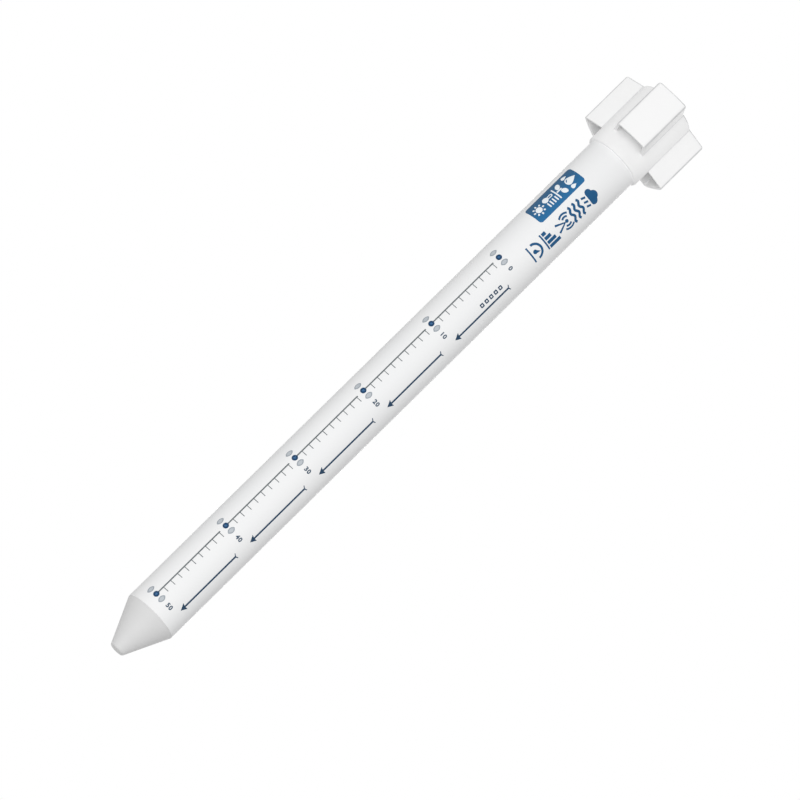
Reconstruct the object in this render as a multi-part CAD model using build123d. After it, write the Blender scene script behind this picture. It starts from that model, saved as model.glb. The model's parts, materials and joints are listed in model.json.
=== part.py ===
from build123d import *
from math import cos, hypot, radians, sin, sqrt, tan
import os

# Tubular soil moisture probe: a sealed tube with a cone point, ring sensors on a long spine
# board, a battery and radio above the ground, and a three-lobed cap that pulls off its neck.
# Millimetres. +Z runs up the tube, z = 0 is the ground mark, the front faces -Y.

# Measured layers
LAYERS = 5
LAYER_PITCH = 100.0

# Tube
TUBE_OD = 60.0
TUBE_WALL = 3.0
TUBE_TAIL = 15.0
EXPOSED_LENGTH = 165.0
NECK_STEP = 1.4
NECK_LENGTH = 20.0
EDGE_BREAK = 0.5

# Clearances: pieces that stay put, and pieces that move past each other
FIT_GAP = 0.1
RUN_GAP = 0.5

# Cap
CAP_STEP = 3.0
CAP_HEIGHT = 83.0
CAP_ROOF = 3.0
SKIRT_HEIGHT = 19.0
SKIRT_ROUND = 2.0
LOBES = 3
LOBE_REACH = 54.5
LOBE_END_WIDTH = 38.0
LOBE_TAPER = 2.0
LOBE_BOW = 1.6
LOBE_CORNER = 4.0
LOBE_WALL = 2.6
CREASE_ROUND = 1.6
RIM_ROUND = 3.0

# Cone point
CONE_LENGTH = 49.0
POINT_WIDTH = 16.0
POINT_ROUND = 3.0
SPIGOT_LENGTH = 28.0
FOOT_DEPTH = 13.0

# Round seals
SEAL_SECTION = 2.0
SEAL_SQUEEZE_GAP = 0.05
CAP_SEAL_PROUD = 0.2

# Bulkhead that closes the tube under the cap
FLANGE_THICKNESS = 3.0
PLUG_DEPTH = 12.0
PLUG_WALL = 4.0
GUARD_HEIGHT = 8.0

# Spine board and ribbon
SPINE_WIDTH = 24.0
BOARD_THICKNESS = 1.6
SPINE_HEADROOM = 8.0
RIBBON_WIDTH = 16.0
RIBBON_THICKNESS = 0.9
RIBBON_BEND = 4.0
RIBBON_SIDE_ROOM = 0.6
HEADER_DEPTH = 6.0
HEADER_HEIGHT = 7.0
HEADER_EAR = 1.0

# Ring sensors
BOBBIN_HEIGHT = 44.0
BOBBIN_CLEARANCE = 0.4
BOBBIN_WALL = 3.4
WEB_THICKNESS = 6.0
RING_HEIGHT = 14.0
RING_THICKNESS = 0.8
RING_SPACING = 22.0
SENSOR_BOARD_WIDTH = 18.0
SENSOR_BOARD_HEIGHT = 34.0
SENSOR_CAN = 10.0
SENSOR_CAN_DEPTH = 2.4
SENSOR_SCREW_SPACING = 26.0

# Temperature probes
PROBE_STALK = 3.0
PROBE_TIP = 5.0
PROBE_TIP_LENGTH = 8.0
PROBE_CLEARANCE = 0.3

# Battery
CELLS = 2
CELL_DIAMETER = 33.4
CELL_LENGTH = 61.0
CELL_NUB_DIAMETER = 8.0
CELL_NUB_HEIGHT = 1.5
CELL_SIDE_ROOM = 0.3
CELL_FRONT_ROOM = 3.3
TROUGH_WALL = 2.2
END_PLATE = 4.0
CONTACT_LENGTH = 28.0
CONTACT_WIDTH = 9.0
CONTACT_THICKNESS = 0.5
CONTACT_RISE = 2.5
LEAD_DIAMETER = 1.8
LEAD_Y = 4.0

# Main board under the cap
BOARD_SIDE_ROOM = 1.6
HEAD_ROOM = 6.0
RADIO_WIDTH = 24.0
RADIO_HEIGHT = 26.0
RADIO_DEPTH = 2.8
RADIO_DROP = 5.0
ANTENNA_WIDTH = 36.0
ANTENNA_DEPTH = 10.0
ANTENNA_THICKNESS = 0.8
SIM_WIDTH = 16.0
SIM_HEIGHT = 17.0
SIM_DEPTH = 1.9
SIM_RISE = 4.2
CARD_WIDTH = 12.0
CARD_THICKNESS = 0.8
CARD_SHOWS = 3.0
POST_WIDTH = 5.0
POST_DEPTH = 7.0
POST_HEIGHT = 14.0
POST_SCREW_RISE = 6.0
MAIN_HEADER_RISE = 8.0
TERMINAL_WIDTH = 4.4
TERMINAL_DEPTH = 6.4
TERMINAL_HEIGHT = 8.0
TERMINAL_SIDE_ROOM = 1.0

# Power switch
SWITCH_WIDTH = 9.0
SWITCH_DEPTH = 8.0
SWITCH_SPACE = 1.5
STEM_DIAMETER = 3.6
STEM_INSIDE = 1.6
BUTTON_DIAMETER = 6.4
BUTTON_THICKNESS = 2.4
BUTTON_GAP = 2.0
BUTTON_TRAVEL = 1.2
BUTTON_EDGE = 0.5

# Screws
SMALL_SCREW = 2.5
SMALL_HEAD = 4.5
SMALL_HEAD_HEIGHT = 1.6
PLATE_SCREW = 3.0
PLATE_HEAD = 5.5
PLATE_HEAD_HEIGHT = 2.2
PLATE_HEAD_ROOM = 0.6
PLATE_SCREW_ANGLE = 41.0
BOSS_WALL = 2.0

# Radii and heights that several pieces share
TUBE_R = TUBE_OD / 2
BORE_R = TUBE_R - TUBE_WALL
NECK_R = TUBE_R - NECK_STEP
PLUG_R = BORE_R - FIT_GAP
CAP_BORE_R = NECK_R + RUN_GAP
CORE_R = TUBE_R + CAP_STEP
TUBE_LOW = -(LAYERS * LAYER_PITCH + TUBE_TAIL)
NECK_TOP = EXPOSED_LENGTH + NECK_LENGTH
CAP_TOP = EXPOSED_LENGTH + CAP_HEIGHT
CEILING = CAP_TOP - CAP_ROOF
SPIGOT_TOP = TUBE_LOW + SPIGOT_LENGTH
FLOOR = NECK_TOP + FLANGE_THICKNESS
GUARD_R = NECK_R - PLUG_WALL
PLUG_LOW = NECK_TOP - PLUG_DEPTH
HALF_BOARD = BOARD_THICKNESS / 2
SLOT_WIDTH = BOARD_THICKNESS + 2 * FIT_GAP

# Battery carrier: it hangs from the bulkhead, and the spine board ends below it
STACK = CELLS * (CELL_LENGTH + CELL_NUB_HEIGHT)
CELLS_TOP = PLUG_LOW - END_PLATE - CONTACT_THICKNESS
CELLS_LOW = CELLS_TOP - STACK
CARRIER_LOW = CELLS_LOW - CONTACT_RISE - END_PLATE
CELL_OFFSET = BORE_R - CELL_FRONT_ROOM - CELL_DIAMETER / 2
TROUGH_R = CELL_DIAMETER / 2 + CELL_SIDE_ROOM
TROUGH_BACK = TROUGH_R + TROUGH_WALL - CELL_OFFSET
SPINE_TOP = CARRIER_LOW - SPINE_HEADROOM
RIBBON_Y = TROUGH_BACK + RIBBON_SIDE_ROOM + RIBBON_THICKNESS

# Main board
MAIN_WIDTH = 2 * (GUARD_R - BOARD_SIDE_ROOM)
MAIN_TOP = CEILING - HEAD_ROOM - ANTENNA_THICKNESS
HEADER_BACK = HALF_BOARD + HEADER_DEPTH
SPINE_HEADER_Z = SPINE_TOP - HEADER_HEIGHT
MAIN_HEADER_Z = FLOOR + MAIN_HEADER_RISE
SIM_LOW = MAIN_HEADER_Z + HEADER_HEIGHT + SIM_RISE
SIM_TOP = SIM_LOW + SIM_HEIGHT
POST_X = RIBBON_WIDTH / 2 + HEADER_EAR + FIT_GAP + POST_WIDTH / 2
POST_SCREW_Z = FLOOR + POST_SCREW_RISE
TERMINAL_BACK = HALF_BOARD + TERMINAL_DEPTH
LEAD_X = sqrt(GUARD_R**2 - TERMINAL_BACK**2) - TERMINAL_SIDE_ROOM - TERMINAL_WIDTH / 2
PLATE_SCREW_R = GUARD_R - PLATE_HEAD_ROOM - PLATE_HEAD / 2
SWITCH_X = RADIO_WIDTH / 2 + SWITCH_SPACE + SWITCH_WIDTH / 2
SWITCH_Z = MAIN_TOP - RADIO_DROP - RADIO_HEIGHT / 2
SWITCH_FRONT = -(HALF_BOARD + SWITCH_DEPTH)

UPRIGHT = (Align.CENTER, Align.CENTER, Align.MIN)
CORNER = (Align.MIN, Align.MIN, Align.MIN)


def rod(radius, low, high, x=0.0, y=0.0):
    """Upright cylinder between two heights."""
    return Pos(x, y, low) * Cylinder(radius, high - low, align=UPRIGHT)


def cross_rod(radius, front, back, x, z):
    """Cylinder along Y, from its front end to its back end."""
    return Pos(x, back, z) * Rot(90, 0, 0) * Cylinder(radius, back - front, align=UPRIGHT)


def ring(outer, inner, low, high):
    return rod(outer, low, high) - rod(inner, low, high)


def block(x, y, z):
    """Box given by its (low, high) limits along each axis."""
    size = [high - low for low, high in (x, y, z)]
    return Pos(x[0], y[0], z[0]) * Box(*size, align=CORNER)


def plate(width, y, z, x=0.0):
    """Box centred on x, with its limits along Y and Z."""
    return block((x - width / 2, x + width / 2), y, z)


def turned(*corners):
    """Body of revolution about the tube axis, from (radius, height) corners."""
    return revolve(Plane.XZ * make_face(Polyline(*corners, close=True)), Axis.Z)


def seal(outer, middle):
    return Pos(0, 0, middle) * Torus(outer - SEAL_SECTION / 2, SEAL_SECTION / 2)


def seal_groove(wall, outer, middle):
    """Square groove in a wall of the given radius for a seal of the given outer radius."""
    half = SEAL_SECTION / 2 + SEAL_SQUEEZE_GAP
    return ring(wall + SEAL_SECTION, outer - 2 * half, middle - half, middle + half)


def pan_screw(shank, length, head, head_height):
    """Screw with its head up: the head's seat is at z = 0 and the shank goes down."""
    top = Cylinder(head / 2, head_height, align=UPRIGHT)
    top = chamfer(top.edges().group_by(Axis.Z)[-1], head_height / 3)
    return top + rod(shank / 2, -length, 0)


def around(shape, count):
    return [Rot(0, 0, 360 * index / count) * shape for index in range(count)]


def outer_tube():
    return turned((BORE_R, TUBE_LOW), (TUBE_R - EDGE_BREAK, TUBE_LOW), (TUBE_R, TUBE_LOW + EDGE_BREAK),
                  (TUBE_R, EXPOSED_LENGTH), (NECK_R, EXPOSED_LENGTH), (NECK_R, NECK_TOP - EDGE_BREAK),
                  (NECK_R - EDGE_BREAK, NECK_TOP), (BORE_R, NECK_TOP))


def tip_seal_heights():
    third = SPIGOT_LENGTH / 3
    return [TUBE_LOW + third, TUBE_LOW + 2 * third]


def tip_seal_radius():
    return BORE_R - SEAL_SQUEEZE_GAP


def cone_tip():
    """Solid turned point with a plug that goes up into the tube and a slot for the spine's foot."""
    low = TUBE_LOW - CONE_LENGTH
    body = turned((0, low), (POINT_WIDTH / 2, low), (TUBE_R, TUBE_LOW - EDGE_BREAK),
                  (TUBE_R - EDGE_BREAK, TUBE_LOW), (PLUG_R, TUBE_LOW), (PLUG_R, SPIGOT_TOP), (0, SPIGOT_TOP))
    body = fillet(body.edges().group_by(Axis.Z)[0], POINT_ROUND)
    for height in tip_seal_heights():
        body -= seal_groove(PLUG_R, tip_seal_radius(), height)
    slot = plate(SPINE_WIDTH + 2 * FIT_GAP, (-SLOT_WIDTH / 2, SLOT_WIDTH / 2),
                 (SPIGOT_TOP - FOOT_DEPTH, SPIGOT_TOP))
    return body - slot


def lobe_plan():
    """Plan of one grip lobe along -Y: tapered flanks, a bowed end and round corners."""
    end = LOBE_END_WIDTH / 2
    shoulder = LOBE_REACH - LOBE_BOW
    root = end + shoulder * tan(radians(LOBE_TAPER))
    flanks = Polyline((end, -shoulder), (root, 0), (-root, 0), (-end, -shoulder))
    bow = ThreePointArc((-end, -shoulder), (0, -LOBE_REACH), (end, -shoulder))
    face = make_face([flanks, bow])
    return fillet(face.vertices().group_by(Axis.Y)[0], LOBE_CORNER)


def crease_edges(body, lobe_low):
    """Upright edges where the lobes' flanks meet the round core."""
    upright = body.edges().filter_by(Axis.Z)
    above = [edge for edge in upright if edge.center().Z > lobe_low]
    return [edge for edge in above if abs(hypot(edge.center().X, edge.center().Y) - CORE_R) < FIT_GAP]


def head_cap():
    """Three-lobed cap: a round core that slips over the neck, with hollow lobes open below."""
    lobe_low = EXPOSED_LENGTH + SKIRT_HEIGHT
    plan = lobe_plan()
    lobe = Pos(0, 0, lobe_low) * extrude(plan, CAP_TOP - lobe_low)
    body = rod(CORE_R, EXPOSED_LENGTH, CAP_TOP) + around(lobe, LOBES)
    body = fillet(crease_edges(body, lobe_low), CREASE_ROUND)
    body = fillet(body.faces().sort_by(Axis.Z)[-1].edges(), RIM_ROUND)
    body = fillet(body.edges().group_by(Axis.Z)[0], SKIRT_ROUND)
    pocket = Pos(0, 0, lobe_low) * extrude(offset(plan, -LOBE_WALL), CEILING - lobe_low)
    pocket -= rod(CORE_R, lobe_low, CAP_TOP)
    for hollow in around(pocket, LOBES):
        body -= hollow
    return body - rod(CAP_BORE_R, EXPOSED_LENGTH, CEILING)


def guard_seal_height():
    return FLOOR + GUARD_HEIGHT / 2


def plug_seal_height():
    return NECK_TOP - PLUG_DEPTH / 2


def plate_screw_places():
    x = PLATE_SCREW_R * cos(radians(PLATE_SCREW_ANGLE))
    y = -PLATE_SCREW_R * sin(radians(PLATE_SCREW_ANGLE))
    return [(-x, y), (x, y)]


def post_screw_hole(radius, front, back, side):
    return cross_rod(radius, front, back, side * POST_X, POST_SCREW_Z)


def bulkhead():
    """Flanged plug in the tube's mouth, with a guard rim, screw bosses and two board posts."""
    body = rod(NECK_R, NECK_TOP, FLOOR)
    body += ring(PLUG_R, PLUG_R - PLUG_WALL, PLUG_LOW, NECK_TOP)
    body += ring(NECK_R, NECK_R - PLUG_WALL, FLOOR, FLOOR + GUARD_HEIGHT)
    for x, y in plate_screw_places():
        body += rod(PLATE_SCREW / 2 + BOSS_WALL, PLUG_LOW, NECK_TOP, x, y)
    for side in (-1, 1):
        post = plate(POST_WIDTH, (HALF_BOARD, HALF_BOARD + POST_DEPTH),
                     (FLOOR, FLOOR + POST_HEIGHT), side * POST_X)
        body += post - post_screw_hole(SMALL_SCREW / 2 + FIT_GAP, 0, POST_DEPTH, side)
        body -= rod(LEAD_DIAMETER / 2 + FIT_GAP, PLUG_LOW, FLOOR, side * LEAD_X, LEAD_Y)
    for x, y in plate_screw_places():
        body -= rod(PLATE_SCREW / 2 + FIT_GAP, PLUG_LOW, FLOOR, x, y)
    body -= ribbon_slot(PLUG_LOW, FLOOR)
    body -= seal_groove(PLUG_R, tip_seal_radius(), plug_seal_height())
    return body - seal_groove(NECK_R, NECK_R + CAP_SEAL_PROUD, guard_seal_height())


def ribbon_slot(low, high):
    reach = RIBBON_THICKNESS / 2 + RIBBON_SIDE_ROOM
    return plate(RIBBON_WIDTH + 2 * RIBBON_SIDE_ROOM, (RIBBON_Y - reach, RIBBON_Y + reach), (low, high))


def plate_screws():
    length = FLANGE_THICKNESS + PLUG_DEPTH + END_PLATE
    screw = pan_screw(PLATE_SCREW, length, PLATE_HEAD, PLATE_HEAD_HEIGHT)
    return [Pos(x, y, FLOOR) * screw for x, y in plate_screw_places()]


def battery_carrier():
    """Two round end plates joined by a half-round trough that the cells lie in."""
    radius = BORE_R - BOBBIN_CLEARANCE
    trough = Pos(0, -CELL_OFFSET, 0) * ring(TROUGH_R + TROUGH_WALL, TROUGH_R, CARRIER_LOW, PLUG_LOW)
    trough -= block((-TUBE_OD, TUBE_OD), (-TUBE_OD, -CELL_OFFSET), (CARRIER_LOW, PLUG_LOW))
    body = trough + rod(radius, CARRIER_LOW, CARRIER_LOW + END_PLATE)
    body += rod(radius, PLUG_LOW - END_PLATE, PLUG_LOW)
    for x, y in plate_screw_places():
        body -= rod(PLATE_SCREW / 2 + FIT_GAP, PLUG_LOW - END_PLATE, PLUG_LOW, x, y)
    for side in (-1, 1):
        body -= rod(LEAD_DIAMETER / 2 + FIT_GAP, CARRIER_LOW, PLUG_LOW, side * LEAD_X, LEAD_Y)
    return body - ribbon_slot(CARRIER_LOW, PLUG_LOW)


def battery_cells():
    """Round cells on top of one another, each with its nub up."""
    cell = rod(CELL_DIAMETER / 2, 0, CELL_LENGTH)
    cell += rod(CELL_NUB_DIAMETER / 2, CELL_LENGTH, CELL_LENGTH + CELL_NUB_HEIGHT)
    pitch = CELL_LENGTH + CELL_NUB_HEIGHT
    return [Pos(0, -CELL_OFFSET, CELLS_LOW + index * pitch) * cell for index in range(CELLS)]


def battery_contacts():
    """A flat strip above the top cell and a bowed leaf under the lowest one."""
    reach = CONTACT_LENGTH / 2
    y = (-CELL_OFFSET - CONTACT_WIDTH / 2, -CELL_OFFSET + CONTACT_WIDTH / 2)
    strip = plate(2 * reach, y, (CELLS_TOP, CELLS_TOP + CONTACT_THICKNESS))
    middle = CONTACT_THICKNESS / 2
    low = CARRIER_LOW + END_PLATE + middle + FIT_GAP
    bow = ThreePointArc((-reach, low), (0, CELLS_LOW - middle - FIT_GAP), (reach, low))
    leaf = extrude(Plane.XZ.offset(-y[0]) * trace(bow, CONTACT_THICKNESS), -CONTACT_WIDTH)
    return [strip, leaf]


def battery_leads():
    """Two stiff leads from the end plates up through the bulkhead to the board's terminals."""
    top = FLOOR + TERMINAL_HEIGHT / 2
    lows = {-1: CARRIER_LOW, 1: PLUG_LOW - END_PLATE}
    return [rod(LEAD_DIAMETER / 2, low, top, side * LEAD_X, LEAD_Y) for side, low in lows.items()]


def main_board():
    """Upright board that stands on the bulkhead and is screwed to its two posts."""
    body = plate(MAIN_WIDTH, (-HALF_BOARD, HALF_BOARD), (FLOOR, MAIN_TOP))
    for side in (-1, 1):
        body -= post_screw_hole(SMALL_SCREW / 2 + FIT_GAP, -HALF_BOARD, HALF_BOARD, side)
    return body


def board_screws():
    screw = pan_screw(SMALL_SCREW, BOARD_THICKNESS + POST_DEPTH / 2, SMALL_HEAD, SMALL_HEAD_HEIGHT)
    return [Pos(side * POST_X, -HALF_BOARD, POST_SCREW_Z) * Rot(90, 0, 0) * screw for side in (-1, 1)]


def wire_terminals():
    bodies = []
    for side in (-1, 1):
        body = plate(TERMINAL_WIDTH, (HALF_BOARD, TERMINAL_BACK), (FLOOR, FLOOR + TERMINAL_HEIGHT),
                     side * LEAD_X)
        hole = rod(LEAD_DIAMETER / 2 + FIT_GAP, FLOOR, FLOOR + TERMINAL_HEIGHT, side * LEAD_X, LEAD_Y)
        bodies.append(body - hole)
    return bodies


def radio_module():
    """Shielded radio on the front of the board: a thin base with a smaller can on it."""
    top = MAIN_TOP - RADIO_DROP
    base = RADIO_DEPTH / 3
    body = plate(RADIO_WIDTH, (-HALF_BOARD - base, -HALF_BOARD), (top - RADIO_HEIGHT, top))
    return body + plate(RADIO_WIDTH - base * 2, (-HALF_BOARD - RADIO_DEPTH, -HALF_BOARD - base),
                        (top - RADIO_HEIGHT + base, top - base))


def cellular_antenna():
    """Flat strip along the board's top edge, flush with its back so that the card can come out."""
    return plate(ANTENNA_WIDTH, (HALF_BOARD - ANTENNA_DEPTH, HALF_BOARD),
                 (MAIN_TOP, MAIN_TOP + ANTENNA_THICKNESS))


def card_slot(gap):
    """Space of the card in its holder, which is open at the top."""
    middle = HALF_BOARD + SIM_DEPTH / 2
    half = CARD_THICKNESS / 2 + gap
    return plate(CARD_WIDTH + 2 * gap, (middle - half, middle + half),
                 (SIM_LOW + CARD_SHOWS - gap, SIM_TOP + CARD_SHOWS))


def sim_holder():
    body = plate(SIM_WIDTH, (HALF_BOARD, HALF_BOARD + SIM_DEPTH), (SIM_LOW, SIM_TOP))
    return body - card_slot(FIT_GAP)


def header(low):
    """Ribbon socket on the back of a board, with a pocket for the ribbon's end."""
    middle = low + HEADER_HEIGHT / 2
    body = plate(RIBBON_WIDTH + 2 * HEADER_EAR, (HALF_BOARD, HEADER_BACK), (low, low + HEADER_HEIGHT))
    half = RIBBON_THICKNESS / 2 + FIT_GAP
    pocket = plate(RIBBON_WIDTH + 2 * FIT_GAP, (HEADER_BACK - HEADER_DEPTH / 2 - FIT_GAP, HEADER_BACK),
                   (middle - half, middle + half))
    return body - pocket


def ribbon_cable():
    """Flat cable from the spine's header, up behind the battery, to the main board's header."""
    low = SPINE_HEADER_Z + HEADER_HEIGHT / 2
    high = MAIN_HEADER_Z + HEADER_HEIGHT / 2
    end = HEADER_BACK - HEADER_DEPTH / 2
    path = FilletPolyline((end, low), (RIBBON_Y, low), (RIBBON_Y, high), (end, high), radius=RIBBON_BEND)
    return extrude(Plane.YZ * trace(path, RIBBON_THICKNESS), RIBBON_WIDTH / 2, both=True)


def power_switch():
    body = plate(SWITCH_WIDTH, (SWITCH_FRONT, -HALF_BOARD),
                 (SWITCH_Z - SWITCH_WIDTH / 2, SWITCH_Z + SWITCH_WIDTH / 2), SWITCH_X)
    depth = STEM_INSIDE + BUTTON_TRAVEL + RUN_GAP
    well = cross_rod(STEM_DIAMETER / 2 + RUN_GAP / 2, SWITCH_FRONT, SWITCH_FRONT + depth, SWITCH_X, SWITCH_Z)
    return body - well


def power_button():
    """Round button on a stem that slides in the switch."""
    back = SWITCH_FRONT - BUTTON_GAP
    front = back - BUTTON_THICKNESS
    knob = cross_rod(BUTTON_DIAMETER / 2, front, back, SWITCH_X, SWITCH_Z)
    knob = fillet(knob.edges().group_by(Axis.Y)[0], BUTTON_EDGE)
    return knob + cross_rod(STEM_DIAMETER / 2, back, SWITCH_FRONT + STEM_INSIDE, SWITCH_X, SWITCH_Z)


def layer_middle(index):
    return -(index + 0.5) * LAYER_PITCH


def sensor_screw_heights():
    return [-SENSOR_SCREW_SPACING / 2, SENSOR_SCREW_SPACING / 2]


def spine_board():
    """Long narrow board from the cone point's slot up to the battery."""
    body = plate(SPINE_WIDTH, (-HALF_BOARD, HALF_BOARD), (SPIGOT_TOP - FOOT_DEPTH + FIT_GAP, SPINE_TOP))
    for index in range(LAYERS):
        for height in sensor_screw_heights():
            body -= cross_rod(SMALL_SCREW / 2 + FIT_GAP, -HALF_BOARD, HALF_BOARD, 0,
                              layer_middle(index) + height)
    return body


def sensor_bobbin(middle):
    """Round former that centres the spine in the tube and carries a pair of copper rings."""
    outer = BORE_R - BOBBIN_CLEARANCE
    half = BOBBIN_HEIGHT / 2
    inner = outer - BOBBIN_WALL
    body = ring(outer, inner, -half, half)
    for ring_middle in (-RING_SPACING / 2, RING_SPACING / 2):
        reach = RING_HEIGHT / 2 + FIT_GAP
        body -= ring(outer + FIT_GAP, outer - RING_THICKNESS - 2 * FIT_GAP, ring_middle - reach,
                     ring_middle + reach)
    web = plate(2 * outer, (-WEB_THICKNESS / 2, WEB_THICKNESS / 2), (-half, half))
    body += web & rod(inner + BOBBIN_WALL / 3, -half, half)
    body -= plate(SPINE_WIDTH + 2 * FIT_GAP, (-SLOT_WIDTH / 2, SLOT_WIDTH / 2), (-half, half))
    for height in sensor_screw_heights():
        body -= cross_rod(SMALL_SCREW / 2 + FIT_GAP, -WEB_THICKNESS, WEB_THICKNESS, 0, height)
    return Pos(0, 0, middle) * body


def electrode_rings(middle):
    outer = BORE_R - BOBBIN_CLEARANCE - FIT_GAP
    inner = outer - RING_THICKNESS
    half = RING_HEIGHT / 2
    places = (middle - RING_SPACING / 2, middle + RING_SPACING / 2)
    return [ring(outer, inner, place - half, place + half) for place in places]


def sensor_board(middle):
    """Small oscillator board on the front of a bobbin's web, with a metal can on it."""
    back = -WEB_THICKNESS / 2
    front = back - BOARD_THICKNESS
    half = SENSOR_BOARD_HEIGHT / 2
    body = plate(SENSOR_BOARD_WIDTH, (front, back), (-half, half))
    body += plate(SENSOR_CAN, (front - SENSOR_CAN_DEPTH, front), (-SENSOR_CAN / 2, SENSOR_CAN / 2))
    for height in sensor_screw_heights():
        body -= cross_rod(SMALL_SCREW / 2 + FIT_GAP, front, back, 0, height)
    return Pos(0, 0, middle) * body


def sensor_screws():
    """Two screws a layer, through the oscillator board, the bobbin's web and the spine."""
    screw = pan_screw(SMALL_SCREW, BOARD_THICKNESS + WEB_THICKNESS, SMALL_HEAD, SMALL_HEAD_HEIGHT)
    seat = -WEB_THICKNESS / 2 - BOARD_THICKNESS
    return [Pos(0, seat, layer_middle(index) + height) * Rot(90, 0, 0) * screw
            for index in range(LAYERS) for height in sensor_screw_heights()]


def temperature_probes():
    """Metal-tipped probes from the spine to the tube's wall, one above each pair of rings."""
    front = -(BORE_R - PROBE_CLEARANCE)
    neck = front + PROBE_TIP_LENGTH
    probes = []
    for index in range(LAYERS):
        z = -index * LAYER_PITCH
        tip = cross_rod(PROBE_TIP / 2, front, neck, 0, z)
        tip = chamfer(tip.edges().group_by(Axis.Y)[0], PROBE_TIP / 4)
        probes.append(tip + cross_rod(PROBE_STALK / 2, neck, -HALF_BOARD, 0, z))
    return probes


def layered(name, make):
    return {f"{name}_{index + 1}": make(layer_middle(index)) for index in range(LAYERS)}


def pieces():
    tip_seals = [seal(tip_seal_radius(), height) for height in tip_seal_heights()]
    parts = {
        "outer_tube": outer_tube(),
        "cone_tip": cone_tip(),
        "tip_seals": tip_seals,
        "head_cap": head_cap(),
        "cap_seal": seal(NECK_R + CAP_SEAL_PROUD, guard_seal_height()),
        "bulkhead": bulkhead(),
        "bulkhead_seal": seal(tip_seal_radius(), plug_seal_height()),
        "plate_screws": plate_screws(),
        "battery_carrier": battery_carrier(),
        "battery_cells": battery_cells(),
        "battery_contacts": battery_contacts(),
        "battery_leads": battery_leads(),
        "main_board": main_board(),
        "board_screws": board_screws(),
        "wire_terminals": wire_terminals(),
        "radio_module": radio_module(),
        "cellular_antenna": cellular_antenna(),
        "sim_holder": sim_holder(),
        "sim_card": card_slot(0),
        "main_header": header(MAIN_HEADER_Z),
        "spine_header": header(SPINE_HEADER_Z),
        "ribbon_cable": ribbon_cable(),
        "power_switch": power_switch(),
        "power_button": power_button(),
        "spine_board": spine_board(),
        "sensor_screws": sensor_screws(),
        "temperature_probes": temperature_probes(),
    }
    parts |= layered("sensor_bobbin", sensor_bobbin)
    parts |= layered("electrode_rings", electrode_rings)
    parts |= layered("sensor_board", sensor_board)
    return parts


def main():
    os.makedirs("parts", exist_ok=True)
    for name, piece in pieces().items():
        solids = piece if isinstance(piece, list) else [piece]
        shape = Compound(children=solids) if len(solids) > 1 else solids[0]
        export_step(shape, f"parts/{name}.step")


main()
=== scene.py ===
# %% [markdown]
# # A tubular soil moisture probe
# The probe is a sealed white tube with a grey cone point and a three-lobed cap. Ring sensors inside
# read the soil at stepped depths, and a ruler printed on the tube shows how deep it stands. The packed
# model holds every piece at its real size, so this lesson adds what a model cannot hold: finishes,
# print, small electronics, light and a camera.

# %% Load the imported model
import json
import math

import bmesh
import bpy
from mathutils import Euler, Matrix, Vector


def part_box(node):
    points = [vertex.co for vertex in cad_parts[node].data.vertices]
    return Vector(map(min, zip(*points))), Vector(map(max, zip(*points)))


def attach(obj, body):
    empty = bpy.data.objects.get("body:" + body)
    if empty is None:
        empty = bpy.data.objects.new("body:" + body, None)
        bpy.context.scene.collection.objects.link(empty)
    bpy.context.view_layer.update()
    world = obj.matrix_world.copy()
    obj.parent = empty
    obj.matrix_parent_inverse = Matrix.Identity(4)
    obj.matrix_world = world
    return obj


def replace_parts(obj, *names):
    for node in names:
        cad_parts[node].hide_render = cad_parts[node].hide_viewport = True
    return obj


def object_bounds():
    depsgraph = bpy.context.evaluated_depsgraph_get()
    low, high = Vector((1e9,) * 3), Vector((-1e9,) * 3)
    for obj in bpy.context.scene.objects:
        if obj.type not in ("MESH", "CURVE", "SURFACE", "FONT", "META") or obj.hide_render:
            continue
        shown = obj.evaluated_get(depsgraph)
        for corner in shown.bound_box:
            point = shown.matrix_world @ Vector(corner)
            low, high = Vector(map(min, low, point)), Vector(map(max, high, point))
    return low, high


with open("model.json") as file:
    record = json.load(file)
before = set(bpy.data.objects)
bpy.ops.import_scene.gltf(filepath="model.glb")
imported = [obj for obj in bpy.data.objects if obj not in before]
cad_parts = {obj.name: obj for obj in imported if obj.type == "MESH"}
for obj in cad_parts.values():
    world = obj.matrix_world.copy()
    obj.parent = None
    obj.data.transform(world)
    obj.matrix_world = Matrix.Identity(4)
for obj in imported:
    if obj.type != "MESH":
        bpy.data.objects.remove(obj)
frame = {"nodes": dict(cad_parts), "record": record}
cad_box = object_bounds()
nodes = frame["nodes"]
slot_of = {part["node"]: part["material_slot"] for part in frame["record"]["subparts"]}
MM = 0.001
print(len(nodes), "pieces, highest point", round(cad_box[1].z / MM, 1), "mm above the ground mark")

# %% [markdown]
# ## Helpers for node trees
# Colours are written as the sRGB hex codes that a paint chart gives. A shader works with linear light,
# so one function converts them. Another one adds a node to any tree with its settings, its values and
# its links, which keeps each tree short enough to read.


# %% Colour and node helpers
def linear(code):
    """Linear RGBA of an sRGB hex code."""
    channels = [int(code[place:place + 2], 16) / 255 for place in (0, 2, 4)]
    return [c / 12.92 if c <= 0.04045 else ((c + 0.055) / 1.055) ** 2.4 for c in channels] + [1.0]


def wire(tree, node, sockets):
    """Fills a node's inputs: an output of another node is linked, anything else is set as a value."""
    for name, value in sockets.items():
        if isinstance(value, bpy.types.NodeSocket):
            tree.links.new(value, node.inputs[name])
        else:
            node.inputs[name].default_value = value


def add(tree, kind, sockets=None, **settings):
    """Adds a node with its settings and inputs."""
    node = tree.nodes.new(kind)
    for setting, value in settings.items():
        setattr(node, setting, value)
    wire(tree, node, sockets or {})
    return node


print("white paint is", [round(c, 3) for c in linear("f4f5f5")])

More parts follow.
